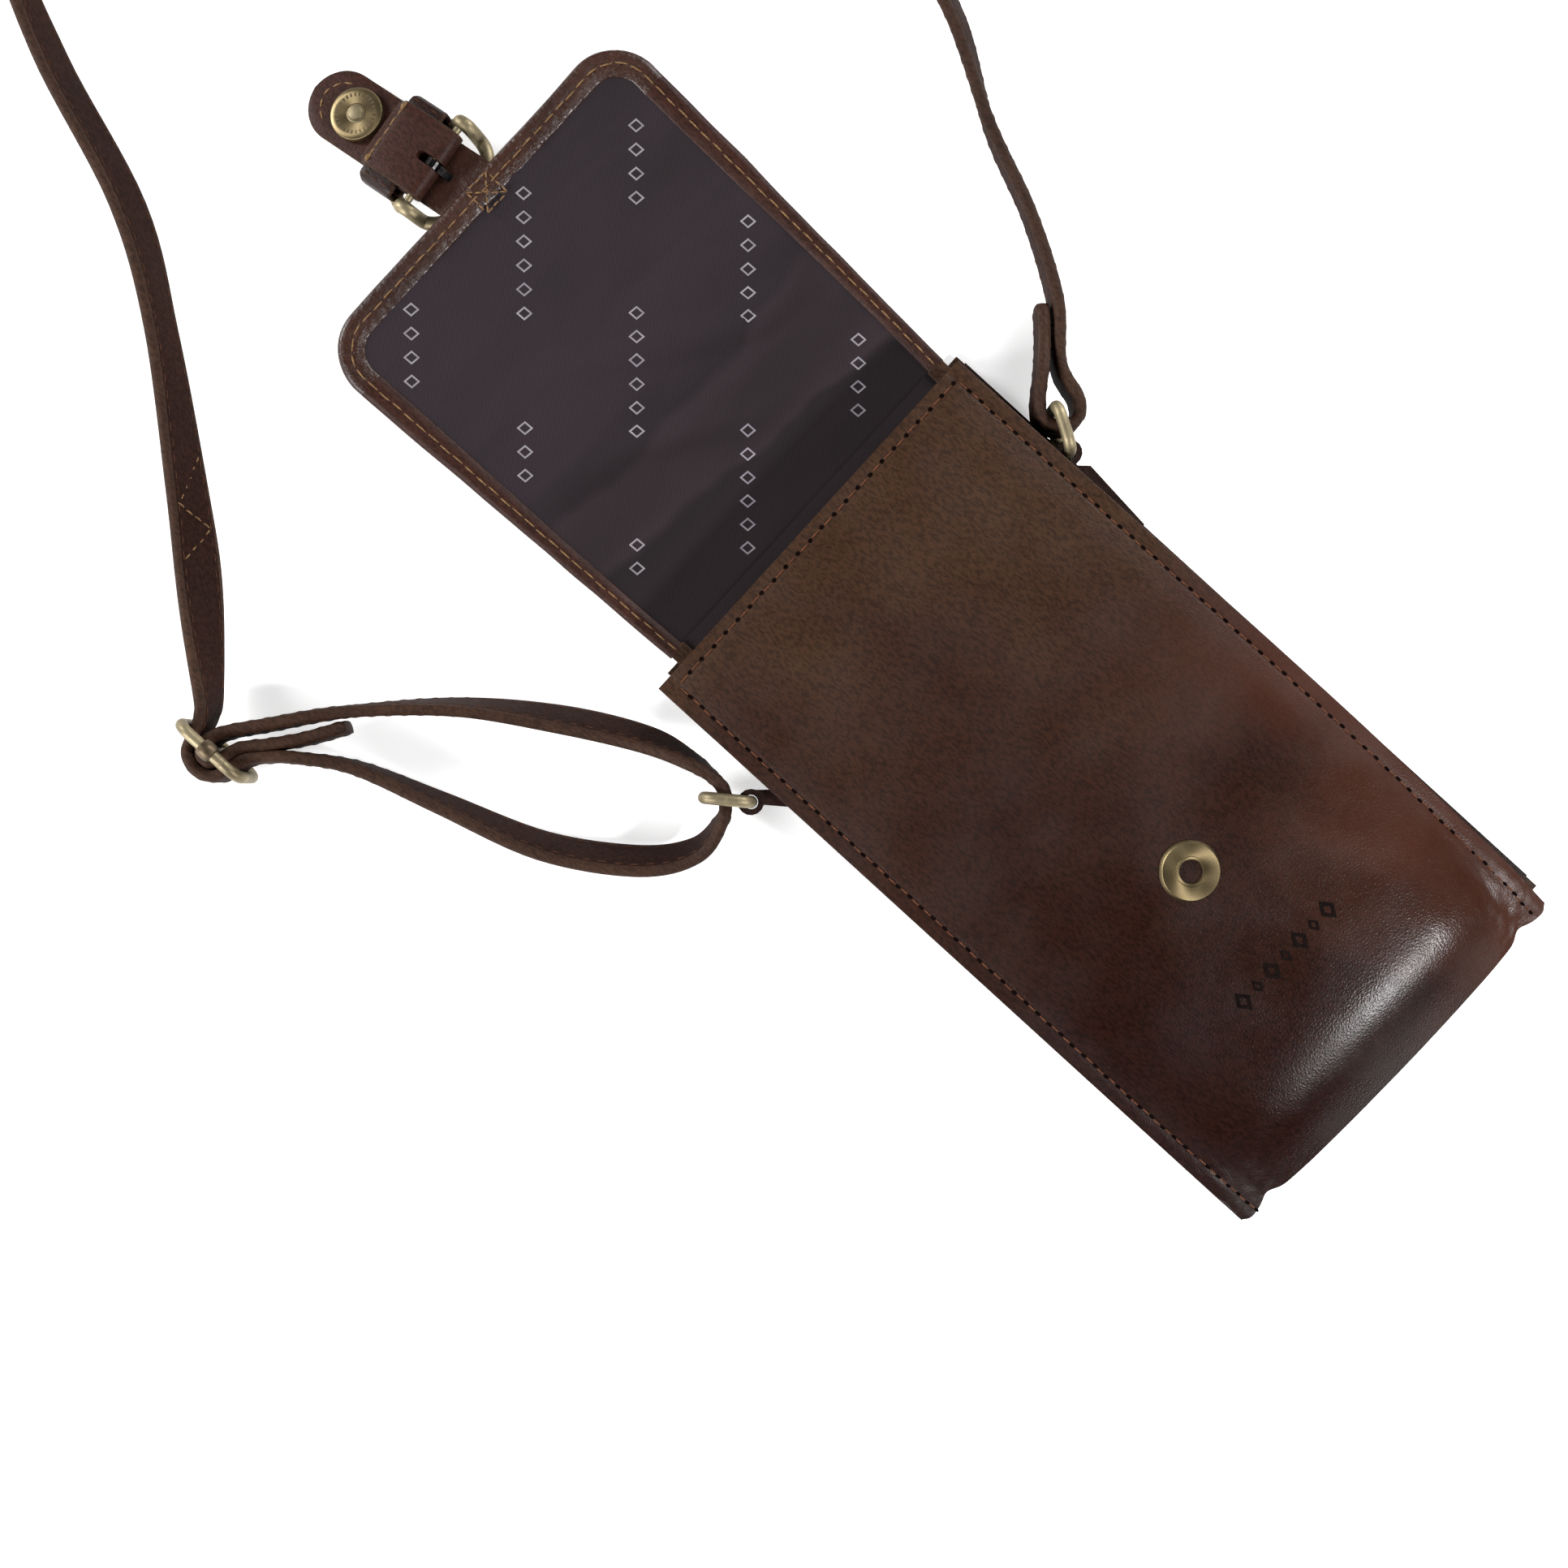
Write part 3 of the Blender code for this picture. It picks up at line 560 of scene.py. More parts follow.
def applied(made):
    """The same object with its modifiers applied."""
    bpy.context.view_layer.update()
    solid = made.evaluated_get(bpy.context.evaluated_depsgraph_get())
    mesh = bpy.data.meshes.new_from_object(solid)
    made.modifiers.clear()
    made.data = mesh
    return made


def cross_section(half_width, half_thickness, corner, crown):
    """Points round a flat strap's section as (across, normal): round corners and crowned faces."""
    points = []
    corner = min(corner, half_thickness, half_width * 0.98)
    x = half_width - corner
    y = half_thickness - corner
    for sx, sy, start in ((1, 1, 0), (-1, 1, 90), (-1, -1, 180), (1, -1, 270)):
        for k in range(4):
            angle = math.radians(start + 30 * k)
            points.append((sx * x + corner * math.cos(angle), sy * y + corner * math.sin(angle)))
        if sx == sy:
            for t in (1 / 6, 2 / 6, 3 / 6, 4 / 6, 5 / 6):
                lift = crown * math.sin(math.pi * t) ** 0.5
                points.append((sx * x * (1 - 2 * t), sy * (half_thickness + lift)))
    return points


def ribbon(name, stations, thickness, paints, body, crown, corner=0.45):
    """A flat strap through stations (centre, across, normal, half_width); its edges take the second paint."""
    points = []
    for centre, across, normal, half_width in stations:
        section = cross_section(half_width, thickness / 2, thickness * corner, crown)
        points += [centre + across * x + normal * y for x, y in section]
    count = len(section)
    on_edge = [abs(y) < thickness * 0.49 for _, y in section]
    indices = [int(on_edge[i] or on_edge[(i + 1) % count]) for i in range(count)] * (len(stations) - 1)
    faces = band_faces(len(stations), count) + end_caps(len(stations), count)
    made = make(name, points, faces, paints, body, indices + [1, 1])
    made.data.set_sharp_from_angle(angle=math.radians(60))
    return made


WIRE = 1.4 * MM
ROD_SIDES = 20


def rod(name, path, radii, body, up, closed=False):
    """A brass rod along a path; radii is (across, along up)."""
    last = len(path) - 1
    points = []
    for i, here in enumerate(path):
        if closed:
            ahead, behind = path[(i + 1) % len(path)], path[i - 1]
        else:
            ahead, behind = path[min(last, i + 1)], path[max(0, i - 1)]
        tangent = (ahead - behind).normalized()
        side = tangent.cross(up).normalized()
        lift = side.cross(tangent).normalized()
        for k in range(ROD_SIDES):
            a = 2 * math.pi * k / ROD_SIDES
            points.append(here + side * radii[0] * math.cos(a) + lift * radii[1] * math.sin(a))
    faces = band_faces(len(path), ROD_SIDES, 0, closed)
    if not closed:
        faces += end_caps(len(path), ROD_SIDES)
    made = make(name, points, faces, [BRASS], body)
    made.data.set_sharp_from_angle(angle=math.radians(60))
    return made


def lathe(name, profile, place, paint, body, steps):
    """A turned piece about its own Z axis from (radius, height) points in millimetres."""
    points = []
    for radius, height in profile:
        for k in range(steps):
            a = 2 * math.pi * k / steps
            points.append(Vector((radius * math.cos(a), radius * math.sin(a), height)) * MM)
    made = make(name, points, band_faces(len(profile), steps), [paint], None)
    work = bmesh.new()
    work.from_mesh(made.data)
    bmesh.ops.remove_doubles(work, verts=work.verts, dist=0.005 * MM)
    work.to_mesh(made.data)
    work.free()
    fix_normals(made)
    made.data.set_sharp_from_angle(angle=math.radians(35))
    made.matrix_world = place
    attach(made, body)
    return made


def arc(x, y, radius, start, end, count):
    turns = [math.radians(start + (end - start) * i / count) for i in range(count + 1)]
    return [(x + radius * math.cos(a), y + radius * math.sin(a)) for a in turns]


def smooth(route, per_span):
    """A Catmull-Rom curve through the route, with per_span points between neighbours."""
    points = []
    last = len(route) - 1
    for i in range(last):
        p0 = Vector(route[max(0, i - 1)])
        p1 = Vector(route[i])
        p2 = Vector(route[i + 1])
        p3 = Vector(route[min(last, i + 2)])
        for k in range(per_span):
            t = k / per_span
            a = p1 * 2
            b = (p2 - p0) * t
            c = (p0 * 2 - p1 * 5 + p2 * 4 - p3) * t * t
            d = (p1 * 3 - p0 - p2 * 3 + p3) * t ** 3
            points.append((a + b + c + d) / 2)
    points.append(Vector(route[last]))
    return points


def resampled(points, spacing):
    """Points at even spacing along a line of (point, normal) pairs."""
    made = []
    travelled = 0.0
    due = spacing / 2
    for (a, na), (b, nb) in zip(points, points[1:]):
        length = (b - a).length
        while length > 0 and due <= travelled + length:
            t = (due - travelled) / length
            made.append((a.lerp(b, t), na.lerp(nb, t).normalized(), (b - a).normalized()))
            due += spacing
        travelled += length
    return made


ROUND_HOLE = (0.56 * MM, 0.50 * MM)
SLIT = (0.72 * MM, 0.36 * MM)
HOLE_SIDES = 10
STITCH_RINGS = 7
STITCH_SIDES = 6
STITCH_WANDER = 0.10 * MM
WANDER_TURN = 2.399


def stitch_row(name, line, body, pitch, length, radius, paint, hole=None):
    """Bowed threads along a line of (point, surface normal), with a needle hole of painted shade between two
    of them.

    Pitch, length and radius are in millimetres.
    """
    points = []
    faces = []
    indices = []
    for n, (centre, normal, tangent) in enumerate(resampled(line, pitch * MM)):
        side = normal.cross(tangent).normalized()
        centre = centre + side * STITCH_WANDER * math.sin(n * WANDER_TURN)
        base = len(points)
        for j in range(STITCH_RINGS):
            t = j / (STITCH_RINGS - 1)
            swell = math.sin(math.pi * t)
            middle = centre + tangent * (t - 0.5) * length * MM
            lift = radius * MM * (0.9 * swell - 0.55)
            thick = radius * MM * (0.55 + 0.45 * swell)
            for k in range(STITCH_SIDES):
                a = 2 * math.pi * k / STITCH_SIDES
                points.append(middle + side * math.cos(a) * thick + normal * (lift + math.sin(a) * thick))
        faces += band_faces(STITCH_RINGS, STITCH_SIDES, base) + end_caps(STITCH_RINGS, STITCH_SIDES, base)
        indices += [0] * (len(faces) - len(indices))
        if hole:
            # Each needle hole is a flat dark disc of painted shade.
            hub = centre + tangent * pitch * MM / 2 + normal * 0.09 * MM
            start = len(points)
            for k in range(HOLE_SIDES):
                a = 2 * math.pi * k / HOLE_SIDES
                points.append(hub + tangent * math.cos(a) * hole[0] + side * math.sin(a) * hole[1])
            faces.append(tuple(range(start, start + HOLE_SIDES)))
            indices.append(1)
    return make(name, points, faces, [paint, HOLE_SHADE], body, indices)


# --- pouch -------------------------------------------------------------------------------------------


def eased(value, low, high):
    """0 below low, 1 above high, and a smooth step between."""
    t = min(1.0, max(0.0, (value - low) / (high - low)))
    return t * t * (3 - 2 * t)


def bell(value, middle, width):
    return math.exp(-(((value - middle) / width) ** 2))


def rough(x, y, layer, height):
    return noise.noise(Vector((x, y, layer))) * height


def outlined_lozenge(points, faces, spot_at, half_u, half_v, hole):
    """Adds a lozenge with a smaller one cut out; spot_at(u, v) is the place at an offset from its middle."""
    base = len(points)
    for scale in (1.0, hole):
        for u, v in ((1, 0), (0, 1), (-1, 0), (0, -1)):
            points.append(spot_at(u * half_u * scale, v * half_v * scale))
    for i in range(4):
        j = (i + 1) % 4
        faces.append((base + i, base + j, base + 4 + j, base + 4 + i))


def top_height(y):
    return MOUTH_H + (BULGE_H - MOUTH_H) * eased(-y, 0, CREST)


def edge_drop(y):
    run = min(1.0, max(0.0, -y / EDGE_DROP_END))
    return 0.8 * MM + 4.4 * MM * run ** 3


def rounded_drop(distance, reach):
    """Share of the height lost at a distance past the crest: level, then a round, then a slope."""
    bend = reach - ROLL_BEND

    def fallen(at):
        return math.log(1 + math.exp((at - bend) / ROLL_SOFTNESS))

    return fallen(distance) / fallen(reach)


def front_point(across, along):
    """A point of the front leather: across from -1 to 1, along from the mouth (0) round the bottom (1)."""
    side = abs(across)
    bow = side ** (3 - 0.9 * eased(along, 0.35, 0.75))
    if along <= FLAT_SHARE:
        y = -CREST * along / FLAT_SHARE
        return Vector((across * HALF_W, y, top_height(y) - edge_drop(y) * bow))
    run = (along - FLAT_SHARE) / (1 - FLAT_SHARE)
    reach = POUCH_L - CREST
    # The bottom's outline: an ear by each seam, a nick inside it, and a slight bow between them.
    reach += (0.6 * bell(side, 0.95, 0.05) - 1.3 * bell(side, 0.85, 0.05) - 0.8 * bell(side, 1.0, 0.02)) * MM
    reach += (1.5 * (1 - side ** 2) + 1.2 * across) * MM
    share = math.sin(math.pi / 2 * min(1.0, run / ROLL_SHARE))
    y = -CREST - reach * share
    top = top_height(y) - edge_drop(max(y, -EDGE_DROP_END)) * bow
    z = top - (top - ROLL_LOW) * rounded_drop(reach * share, reach)
    if run > ROLL_SHARE:
        # From the roll's end down to the back, tucked in a little.
        down = (run - ROLL_SHARE) / (1 - ROLL_SHARE)
        y += 1.0 * MM * down
        z = ROLL_LOW - (ROLL_LOW - BACK_T - 0.3 * MM) * down
    pinch = 1 - 0.03 * math.sin(math.pi / 2 * run) * (1 - eased(side, 0.88, 0.97))
    return Vector((across * HALF_W * pinch, y, z))


def front_skin(across, along):
    """The front leather's outer face with its seam margins, stitch furrows, dents and creases."""
    here = front_point(across, along)
    side = abs(across)
    from_side = (1 - side) * HALF_W
    # The sewn margin is pressed flat, its stitches draw a furrow, and the bottom corners sink.
    lower = 0.40 * MM * (1 - eased(from_side, SEAM - 0.5 * MM, SEAM + 6 * MM))
    lower += 0.16 * MM * bell(from_side, SEAM, FURROW)
    lower += 1.6 * MM * eased(side, 0.55, 0.95) * eased(-here.y, 115 * MM, 158 * MM)
    if along < FLAT_SHARE:
        # The same along the mouth's hem.
        lower += 0.30 * MM * (1 - eased(-here.y, MOUTH_HEM - 0.4 * MM, MOUTH_HEM + 3 * MM))
        if from_side > SEAM:
            lower += 0.14 * MM * bell(-here.y, MOUTH_HEM, FURROW)
    # Wide shallow dents with a fine unevenness, and slanting creases in the bottom corners.
    dents = rough(here.x * 22, here.y * 15, 3.1, 0.26 * MM) + rough(here.x * 95, here.y * 80, 7.7, 0.05 * MM)
    corner = eased(side, 0.55, 0.93) * eased(along, 0.58, 0.74) * (1 - eased(along, 0.86, 0.97))
    crease = abs(rough(here.x * 150 + here.y * 330, here.y * 180 - here.x * 380, 1.3, 1.0))
    crease = (crease ** 0.7 - 0.4) * 0.26 * MM * corner
    calm = eased(from_side, 0, 9 * MM)
    return here + Vector((0, 0, dents * calm + crease - lower))


def front_rows():
    """Shares along the front, dense by the mouth's hem and over the rolled bottom."""
    hem_end = FLAT_SHARE * 6 * MM / CREST
    rows = [hem_end * j / 14 for j in range(14)]
    rows += [hem_end + (FLAT_SHARE - hem_end) * share for share in even(68)]
    rows += [FLAT_SHARE + (1 - FLAT_SHARE) * share for share in even(74)[1:]]
    return rows


def front():
    """The raised front leather with its side seams and the hem of the mouth."""
    made = sheet_mesh(
        "front_leather_panel", lambda u, v: front_skin(1 - 2 * u, v), 190, front_rows(), LEATHER,
        [FRONT_LEATHER, EDGE_PAINT], "pouch",
    )
    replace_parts(made, "front_panel")

    def lifted(across, along):
        here = front_skin(across, along)
        du = front_skin(across + 0.002, along) - front_skin(across - 0.002, along)
        dv = front_skin(across, along - 0.003) - front_skin(across, along + 0.003)
        normal = du.cross(dv).normalized()
        return here + normal * 0.06 * MM, normal

    seam = 1 - SEAM / HALF_W
    first, length = 0.014, 0.850  # shares along the front, ending on the ear
    for name, side in (("left", -1), ("right", 1)):
        line = [lifted(side * seam, first + length * share) for share in even(200)]
        stitch_row(f"side_stitches_{name}", line, "pouch", 3.5, 2.3, 0.20, THREAD, SLIT)
    hem = MOUTH_HEM / CREST * FLAT_SHARE
    line = [lifted(seam * (2 * share - 1), hem) for share in even(60)]
    stitch_row("mouth_stitches", line, "pouch", 4.0, 2.8, 0.22, THREAD, ROUND_HOLE)


def front_inside():
    """The pocket's lining just under the front leather."""
    gap = Vector((0, 0, LEATHER + 0.5 * MM))

    def cloth(u, v):
        return front_skin(0.93 * (1 - 2 * u), 0.015 + 0.80 * v) - gap

    made = sheet_mesh(
        "pocket_lining_front", cloth, 40, even(60), 0.5 * MM, [LINING, LINING], "pouch",
    )
    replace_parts(made, "front_lining")


def emblem():
    """A pressed border of large and small lozenges near the bottom: flat dark outlines, the pressed leather's
    darker tone with painted shade of the pressed lines.
    """
    points = []
    faces = []
    count = 7
    spacing = 4.6 * MM
    level = -143 * MM
    for k in range(count):
        middle_x = (k - count // 2) * spacing
        wide, tall = (1.9 * MM, 2.7 * MM) if k % 2 == 0 else (1.2 * MM, 1.7 * MM)

        def pressed(dx, dy):
            x = middle_x + dx
            y = level + dy
            turn = math.asin((-y - CREST) / (POUCH_L - CREST)) / (math.pi / 2)
            skin = front_skin(x / HALF_W, FLAT_SHARE + (1 - FLAT_SHARE) * ROLL_SHARE * turn)
            return Vector((x, y, skin.z + 0.12 * MM))

        outlined_lozenge(points, faces, pressed, wide, tall, 0.50)
    make("pressed_border", points, faces, [PRESSED], "pouch")


def back_and_sides():
    """Stitch rows that hold the back panel to the gussets, and the gussets' own folded rims."""
    down = Vector((0, 0, -1))
    for name, side, leaning in (("left", -1, 0.30), ("right", 1, 0.55)):
        x = BACK_SHIFT + side * (HALF_W - SEAM)
        line = [(Vector((x, -4 * MM - (POUCH_L - 10 * MM) * share, -0.02 * MM)), down) for share in even(60)]
        stitch_row(f"back_stitches_{name}", line, "pouch", 3.5, 2.3, 0.2, THREAD, SLIT)

        def rim(u, v):
            inward = u if side > 0 else 1 - u
            out = HALF_W - 0.6 * MM * (1 - inward) - 3.4 * MM * inward
            y = front_point(side, 0.002 + 0.84 * v).y
            return Vector((side * out + BACK_SHIFT * leaning, y, BACK_T + 1.3 * MM))

        sheet_mesh(
            f"gusset_rim_{name}", rim, 8, even(60), 1.2 * MM, [DARK_LEATHER, EDGE_PAINT], "pouch",
        )


def snap_socket():
    """Dished disc with the magnet sunk in its middle."""
    low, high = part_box("snap_socket_disc")
    place = Matrix.Translation(((low.x + high.x) / 2, (low.y + high.y) / 2, low.z))
    place = place @ Matrix.Rotation(math.radians(1.6), 4, "X")
    r = (high.x - low.x) / 2 / MM
    t = (high.z - low.z) / MM
    profile = [
        (2.45, -1.2), (2.5, t * 0.80), (2.8, t * 0.98), (3.3, t), (3.45, t * 0.93), (4.6, t * 0.96),
        (r - 0.9, t * 0.90), (r - 0.35, t * 0.72), (r, t * 0.40), (r, 0), (r - 0.5, -0.2),
    ]
    disc = lathe("snap_socket_face", profile, place, SNAP_BRASS, "pouch", 96)
    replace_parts(disc, "snap_socket_disc")
    cup = [(0, 0.62), (1.75, 0.60), (1.95, 0.50), (2.0, 0.1), (2.45, 0.1), (2.46, t * 0.55)]
    core = lathe("snap_socket_magnet", cup, place, MAGNET, "pouch", 48)
    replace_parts(core, "snap_socket_core")


# --- flap --------------------------------------------------------------------------------------------


def on_flap(x, v, w):
    return FLAP @ Vector((x, v, w))


def flap_half(v, inset=0.0):
    """Half the flap's width at distance v from its root fold, drawn in by inset."""
    half = FLAP_HALF_ROOT + (FLAP_HALF_END - FLAP_HALF_ROOT) * v / FLAP_END - inset
    radius = max(4 * MM, FLAP_CORNER - inset)
    into = min(radius, v - (FLAP_END - inset - radius))
    if into > 0:
        half -= radius - math.sqrt(radius * radius - into * into)
    return half


def lining_height(x, v):
    """The lining lies nearly flat, with loose folds towards the mouth."""
    near = 1 - eased(v, 24 * MM, 78 * MM)
    diagonal = v * 0.92 + x * 0.38
    wave = math.sin(diagonal * 2 * math.pi / (23 * MM) + 1.1 * math.sin(x / (13 * MM)) + 0.6)
    calm = eased(flap_half(v) - abs(x), 4 * MM, 14 * MM)
    free = eased(v, 15 * MM, 34 * MM)
    loose = 1.7 * MM * near * free * max(0.0, wave) ** 1.4 * calm
    ripple = rough(x * 48 + v * 20, v * 60, 2.2, 0.30 * MM)
    return 2.05 * MM + loose + ripple * calm * (0.3 + 0.7 * free)


def flap_sheet(name, start, inset, surface, columns, rows, thickness, paints):
    """A sheet over the flap's outline; rows get closer round the corners."""
    length = FLAP_END - inset - start
    straight = 0.84
    shares = [straight * j / rows for j in range(rows)]
    shares += [straight + (1 - straight) * math.sin(math.pi / 2 * share) for share in even(24)]

    def place(u, share):
        v = start + length * share
        x = flap_half(v, inset) * (2 * u - 1)
        return on_flap(x, v, surface(x, v))

    made = sheet_mesh(name, place, columns, shares, thickness, paints, None)
    return bent_at_upper_fold(applied(made))


def bent_at_upper_fold(made):
    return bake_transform(made)


def flap_path():
    """The flap's edge from the left of its root, round its end, to the right: point, inward direction."""
    straight = FLAP_END - FLAP_CORNER
    start = 0.7 * MM
    left = []
    for share in even(60):
        v = start + (straight - start) * share
        left.append((Vector((-flap_half(v), v)), Vector((1, 0))))
    half = FLAP_HALF_END - 0.4 * MM - FLAP_CORNER
    for share in even(24)[1:]:
        angle = math.pi * (1 - share / 2)
        out = Vector((math.cos(angle), math.sin(angle)))
        left.append((Vector((-half, straight)) + out * FLAP_CORNER, -out))
    for share in even(129)[1:]:
        left.append((Vector((-half + half * share, FLAP_END)), Vector((0, -1))))
    right = [(Vector((-p.x, p.y)), Vector((-n.x, n.y))) for p, n in reversed(left[:-1])]
    return left + right


def binding_width(point):
    """Widest along the flap's end, narrowing down both sides."""
    return (4.5 + 1.8 * eased(point.y, 10 * MM, 100 * MM)) * MM


def flap_binding():
    """Leather turned over the flap's edge, puckered round the corners and pebbled along the end."""
    path = flap_path()
    # Share of the width from the flap's edge, and height over the flap in millimetres.
    section = [
        (1.0, 2.00), (0.985, 2.16), (0.93, 2.32), (0.84, 2.54), (0.74, 2.76), (0.65, 2.90), (0.58, 2.88),
        (0.53, 2.78), (0.48, 2.86), (0.40, 2.96), (0.28, 3.03), (0.17, 2.95), (0.08, 2.65), (0.01, 2.1),
        (0.0, 1.4), (0.02, 0.6), (0.10, 0.02), (0.35, -0.12), (0.6, -0.10),
    ]
    furrow, furrow_height = 0.53, 2.84 * MM
    points = []
    travelled = 0.0
    line = []
    for j, (point, inward) in enumerate(path):
        if j:
            travelled += (point - path[j - 1][0]).length
        width = binding_width(point)
        corner = bell(abs(inward.x) - abs(inward.y), 0, 0.75) * eased(point.y, 80 * MM, 92 * MM)
        at_end = eased(point.y, 96 * MM, 105 * MM)
        pucker = math.sin(travelled * 2 * math.pi / (1.9 * MM)) * 0.16 * MM * corner
        slack = rough(travelled * 90, 0.5, 0.9, 0.22 * MM)
        for share, height in section:
            spot = point + inward * share * width
            pebble = rough(spot.x * 700, spot.y * 700, 0.7, 0.22 * MM) * at_end * eased(share, 0.35, 0.6)
            pebble += rough(spot.x * 170, spot.y * 170, 4.1, 0.12 * MM)
            edge = spot + inward * slack * (1 - share)
            points.append(on_flap(edge.x, edge.y, height * MM + (pucker + pebble) * eased(height, 1.8, 2.5)))
        middle = point + inward * width * furrow
        line.append((on_flap(middle.x, middle.y, furrow_height), FLAP_UP))
    faces = []
    indices = []
    count = len(section)
    for j in range(len(path) - 1):
        for a in range(j * count, (j + 1) * count - 1):
            faces.append((a, a + count, a + count + 1, a + 1))
            indices.append(1 if path[j][0].y > 92 * MM else 0)
    paints = [TAB_LEATHER, GLOSSY_LEATHER]
    made = make("flap_edge_binding", points, faces, paints, None, indices)
    bent_at_upper_fold(made)
    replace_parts(made, "flap_binding", "spine_binding_left", "spine_binding_right")
    bent_at_upper_fold(stitch_row("flap_stitches", line, None, 3.6, 3.0, 0.22, BRIGHT_THREAD))


def tongue_tack():
    """The sewn square that holds the closure tab's tongue, seen on the lined side over the binding."""
    middle = Vector((3.0 * MM, FLAP_END - 4.3 * MM))
    half = 3.3 * MM
    corners = [middle + Vector((sx * half, sy * half)) for sx, sy in ((-1, -1), (1, -1), (1, 1), (-1, 1))]
    sides_and_cross = [(0, 1), (1, 2), (2, 3), (3, 0), (0, 2), (1, 3)]
    for n, ends in enumerate(sides_and_cross):
        line = [(on_flap(corners[k].x, corners[k].y, 3.02 * MM), FLAP_UP) for k in ends]
        stitch_row(f"tongue_tack_{n}", line, "flap", 1.9, 1.5, 0.22, BRIGHT_THREAD)


def flap():
    skin = flap_sheet(
        "flap_outer_leather", 0.6 * MM, 0.5 * MM, lambda x, v: FLAP_LEATHER + 0.1 * MM, 64, 70, FLAP_LEATHER,
        [FLAP_SKIN, EDGE_PAINT],
    )
    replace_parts(skin, "flap_panel", "flap_spine")
    cloth = flap_sheet(
        "flap_twill_lining", 1.4 * MM, 3.6 * MM, lining_height, 110, 104, 0.5 * MM, [LINING, LINING],
    )
    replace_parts(cloth, "flap_lining", "spine_lining")
    flap_binding()
    lining_motif()


def lining_motif():
    """Slanting columns of small outlined lozenges printed on the lining, six to a group."""
    across = Vector((0.674, -0.739))
    run = Vector((-0.739, -0.674))
    first = Vector((35.5, 86.5)) * MM
    column_step = 25.6 * MM
    group_step = 53 * MM
    step = 5.4 * MM
    in_group = 6
    points = []
    faces = []

    def print_lozenge(middle):
        def printed(du, dv):
            spot = middle + across * du + run * dv
            return on_flap(spot.x, spot.y, lining_height(spot.x, spot.y) + 0.06 * MM)

        outlined_lozenge(points, faces, printed, 1.9 * MM, 1.6 * MM, 0.68)

    for column in range(-3, 5):
        for group in range(-3, 5):
            start = first + across * column_step * column + run * group_step * (group + 0.5 * (column % 2))
            for k in range(in_group):
                middle = start + run * (k - (in_group - 1) / 2) * step
                inside = flap_half(middle.y) - binding_width(middle) - 2.7 * MM
                if 4 * MM < middle.y < FLAP_END - 8.5 * MM and abs(middle.x) < inside:
                    print_lozenge(middle)
    made = make("lining_print", points, faces, [PRINT], None)
    bent_at_upper_fold(made)


def root_fold():
    """Leather and lining that carry the back panel over into the flap's spine."""
    half = FLAP_HALF_ROOT - 0.4 * MM
    inner = half - binding_width(Vector((0, 0)))
    cloth_half = inner + 1 * MM

    def strip(name, x0, x1, y0, y1, level, thickness, paints, slot_name):
        def surface(u, v):
            rise = 0.25 * MM * eased(v, 0.3, 1.0)
            return Vector((BACK_SHIFT + x0 + (x1 - x0) * u, y0 + (y1 - y0) * v, HINGE.z + level + rise))

        made = applied(sheet_mesh(name, surface, 40, even(16), thickness, paints, None))
        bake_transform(made)

    long = (-5 * MM, 5 * MM)
    short = (-0.5 * MM, 4.3 * MM)
    skin = [FLAP_SKIN, EDGE_PAINT]
    strip("root_fold_leather", -half, half, *long, FLAP_LEATHER - 0.2 * MM, 1.1 * MM, skin, "leather")
    strip("root_fold_lining", -cloth_half, cloth_half, *long, 1.9 * MM, 0.5 * MM, [LINING, LINING], "lining")
    strip("root_fold_rim_left", -half, -inner, *short, 2.75 * MM, 1.2 * MM, skin, "dark_leather")
    strip("root_fold_rim_right", inner, half, *short, 2.75 * MM, 1.2 * MM, skin, "dark_leather")


# --- closure tab ---------------------------------------------------------------------------------------


def on_tab(x, u, w):
    return TAB @ Vector((x, u, w))


def tab_direction(x, u, w):
    return TAB.to_3x3() @ Vector((x, u, w))


def tongue():
    """Strap stitched under the flap's end; it turns down at the edge and carries the keeper and buckle."""
    half = TAB_W / 2 - 0.5 * MM
    taper = 3.4 * MM
    start = 81.5 * MM
    length = 21 * MM
    level = -0.9 * MM
    flap_turn = FLAP.to_3x3()
    stations = []
    for i in range(13):
        v = start + length * i / 13
        width = half - taper * (1 - eased(v, start, start + 5 * MM))
        stations.append((on_flap(1.5 * MM, v, level), flap_turn @ Vector((1, 0, 0)), FLAP_UP, width))
    for share in even(16):
        u = 32 * MM * share
        width = half - taper * eased(u, 27 * MM, 32 * MM)
        stations.append((on_tab(0, u, 0), TAB_ACROSS, TAB_UP, width))
    made = ribbon("tongue", stations, TAB_T, [GLOSSY_LEATHER, EDGE_PAINT], None, 0.05 * MM)
    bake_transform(made)
    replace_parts(made, "tongue_root", "tongue_end")


def tab_profile():
    """(distance from the pivot, height) along the strap: tip, main layer, wrap round the bar, upper layer."""
    half = TAB_W / 2
    round_share = 0.35
    profile = []
    for share in even(59):
        if share < round_share:
            u = TIP_U - half * (1 - math.cos(math.pi / 2 * share / round_share))
        else:
            u = TIP_U - half - (TIP_U - half - BAR_U) * (share - round_share) / (1 - round_share)
        profile.append((u, MAIN_MID))
    profile += arc(BAR_U, BAR_LEVEL, FOLD_MID - BAR_LEVEL, 270, 90, 14)[1:]
    for share in even(24)[1:]:
        w = FOLD_MID + 0.25 * MM * math.sin(math.pi * share)
        w -= (FOLD_MID - MAIN_TOP - 0.9 * MM) * eased(share, 0.78, 1.0)
        profile.append((BAR_U + (FOLD_END - 1.0 * MM - BAR_U) * share, w))
    return profile


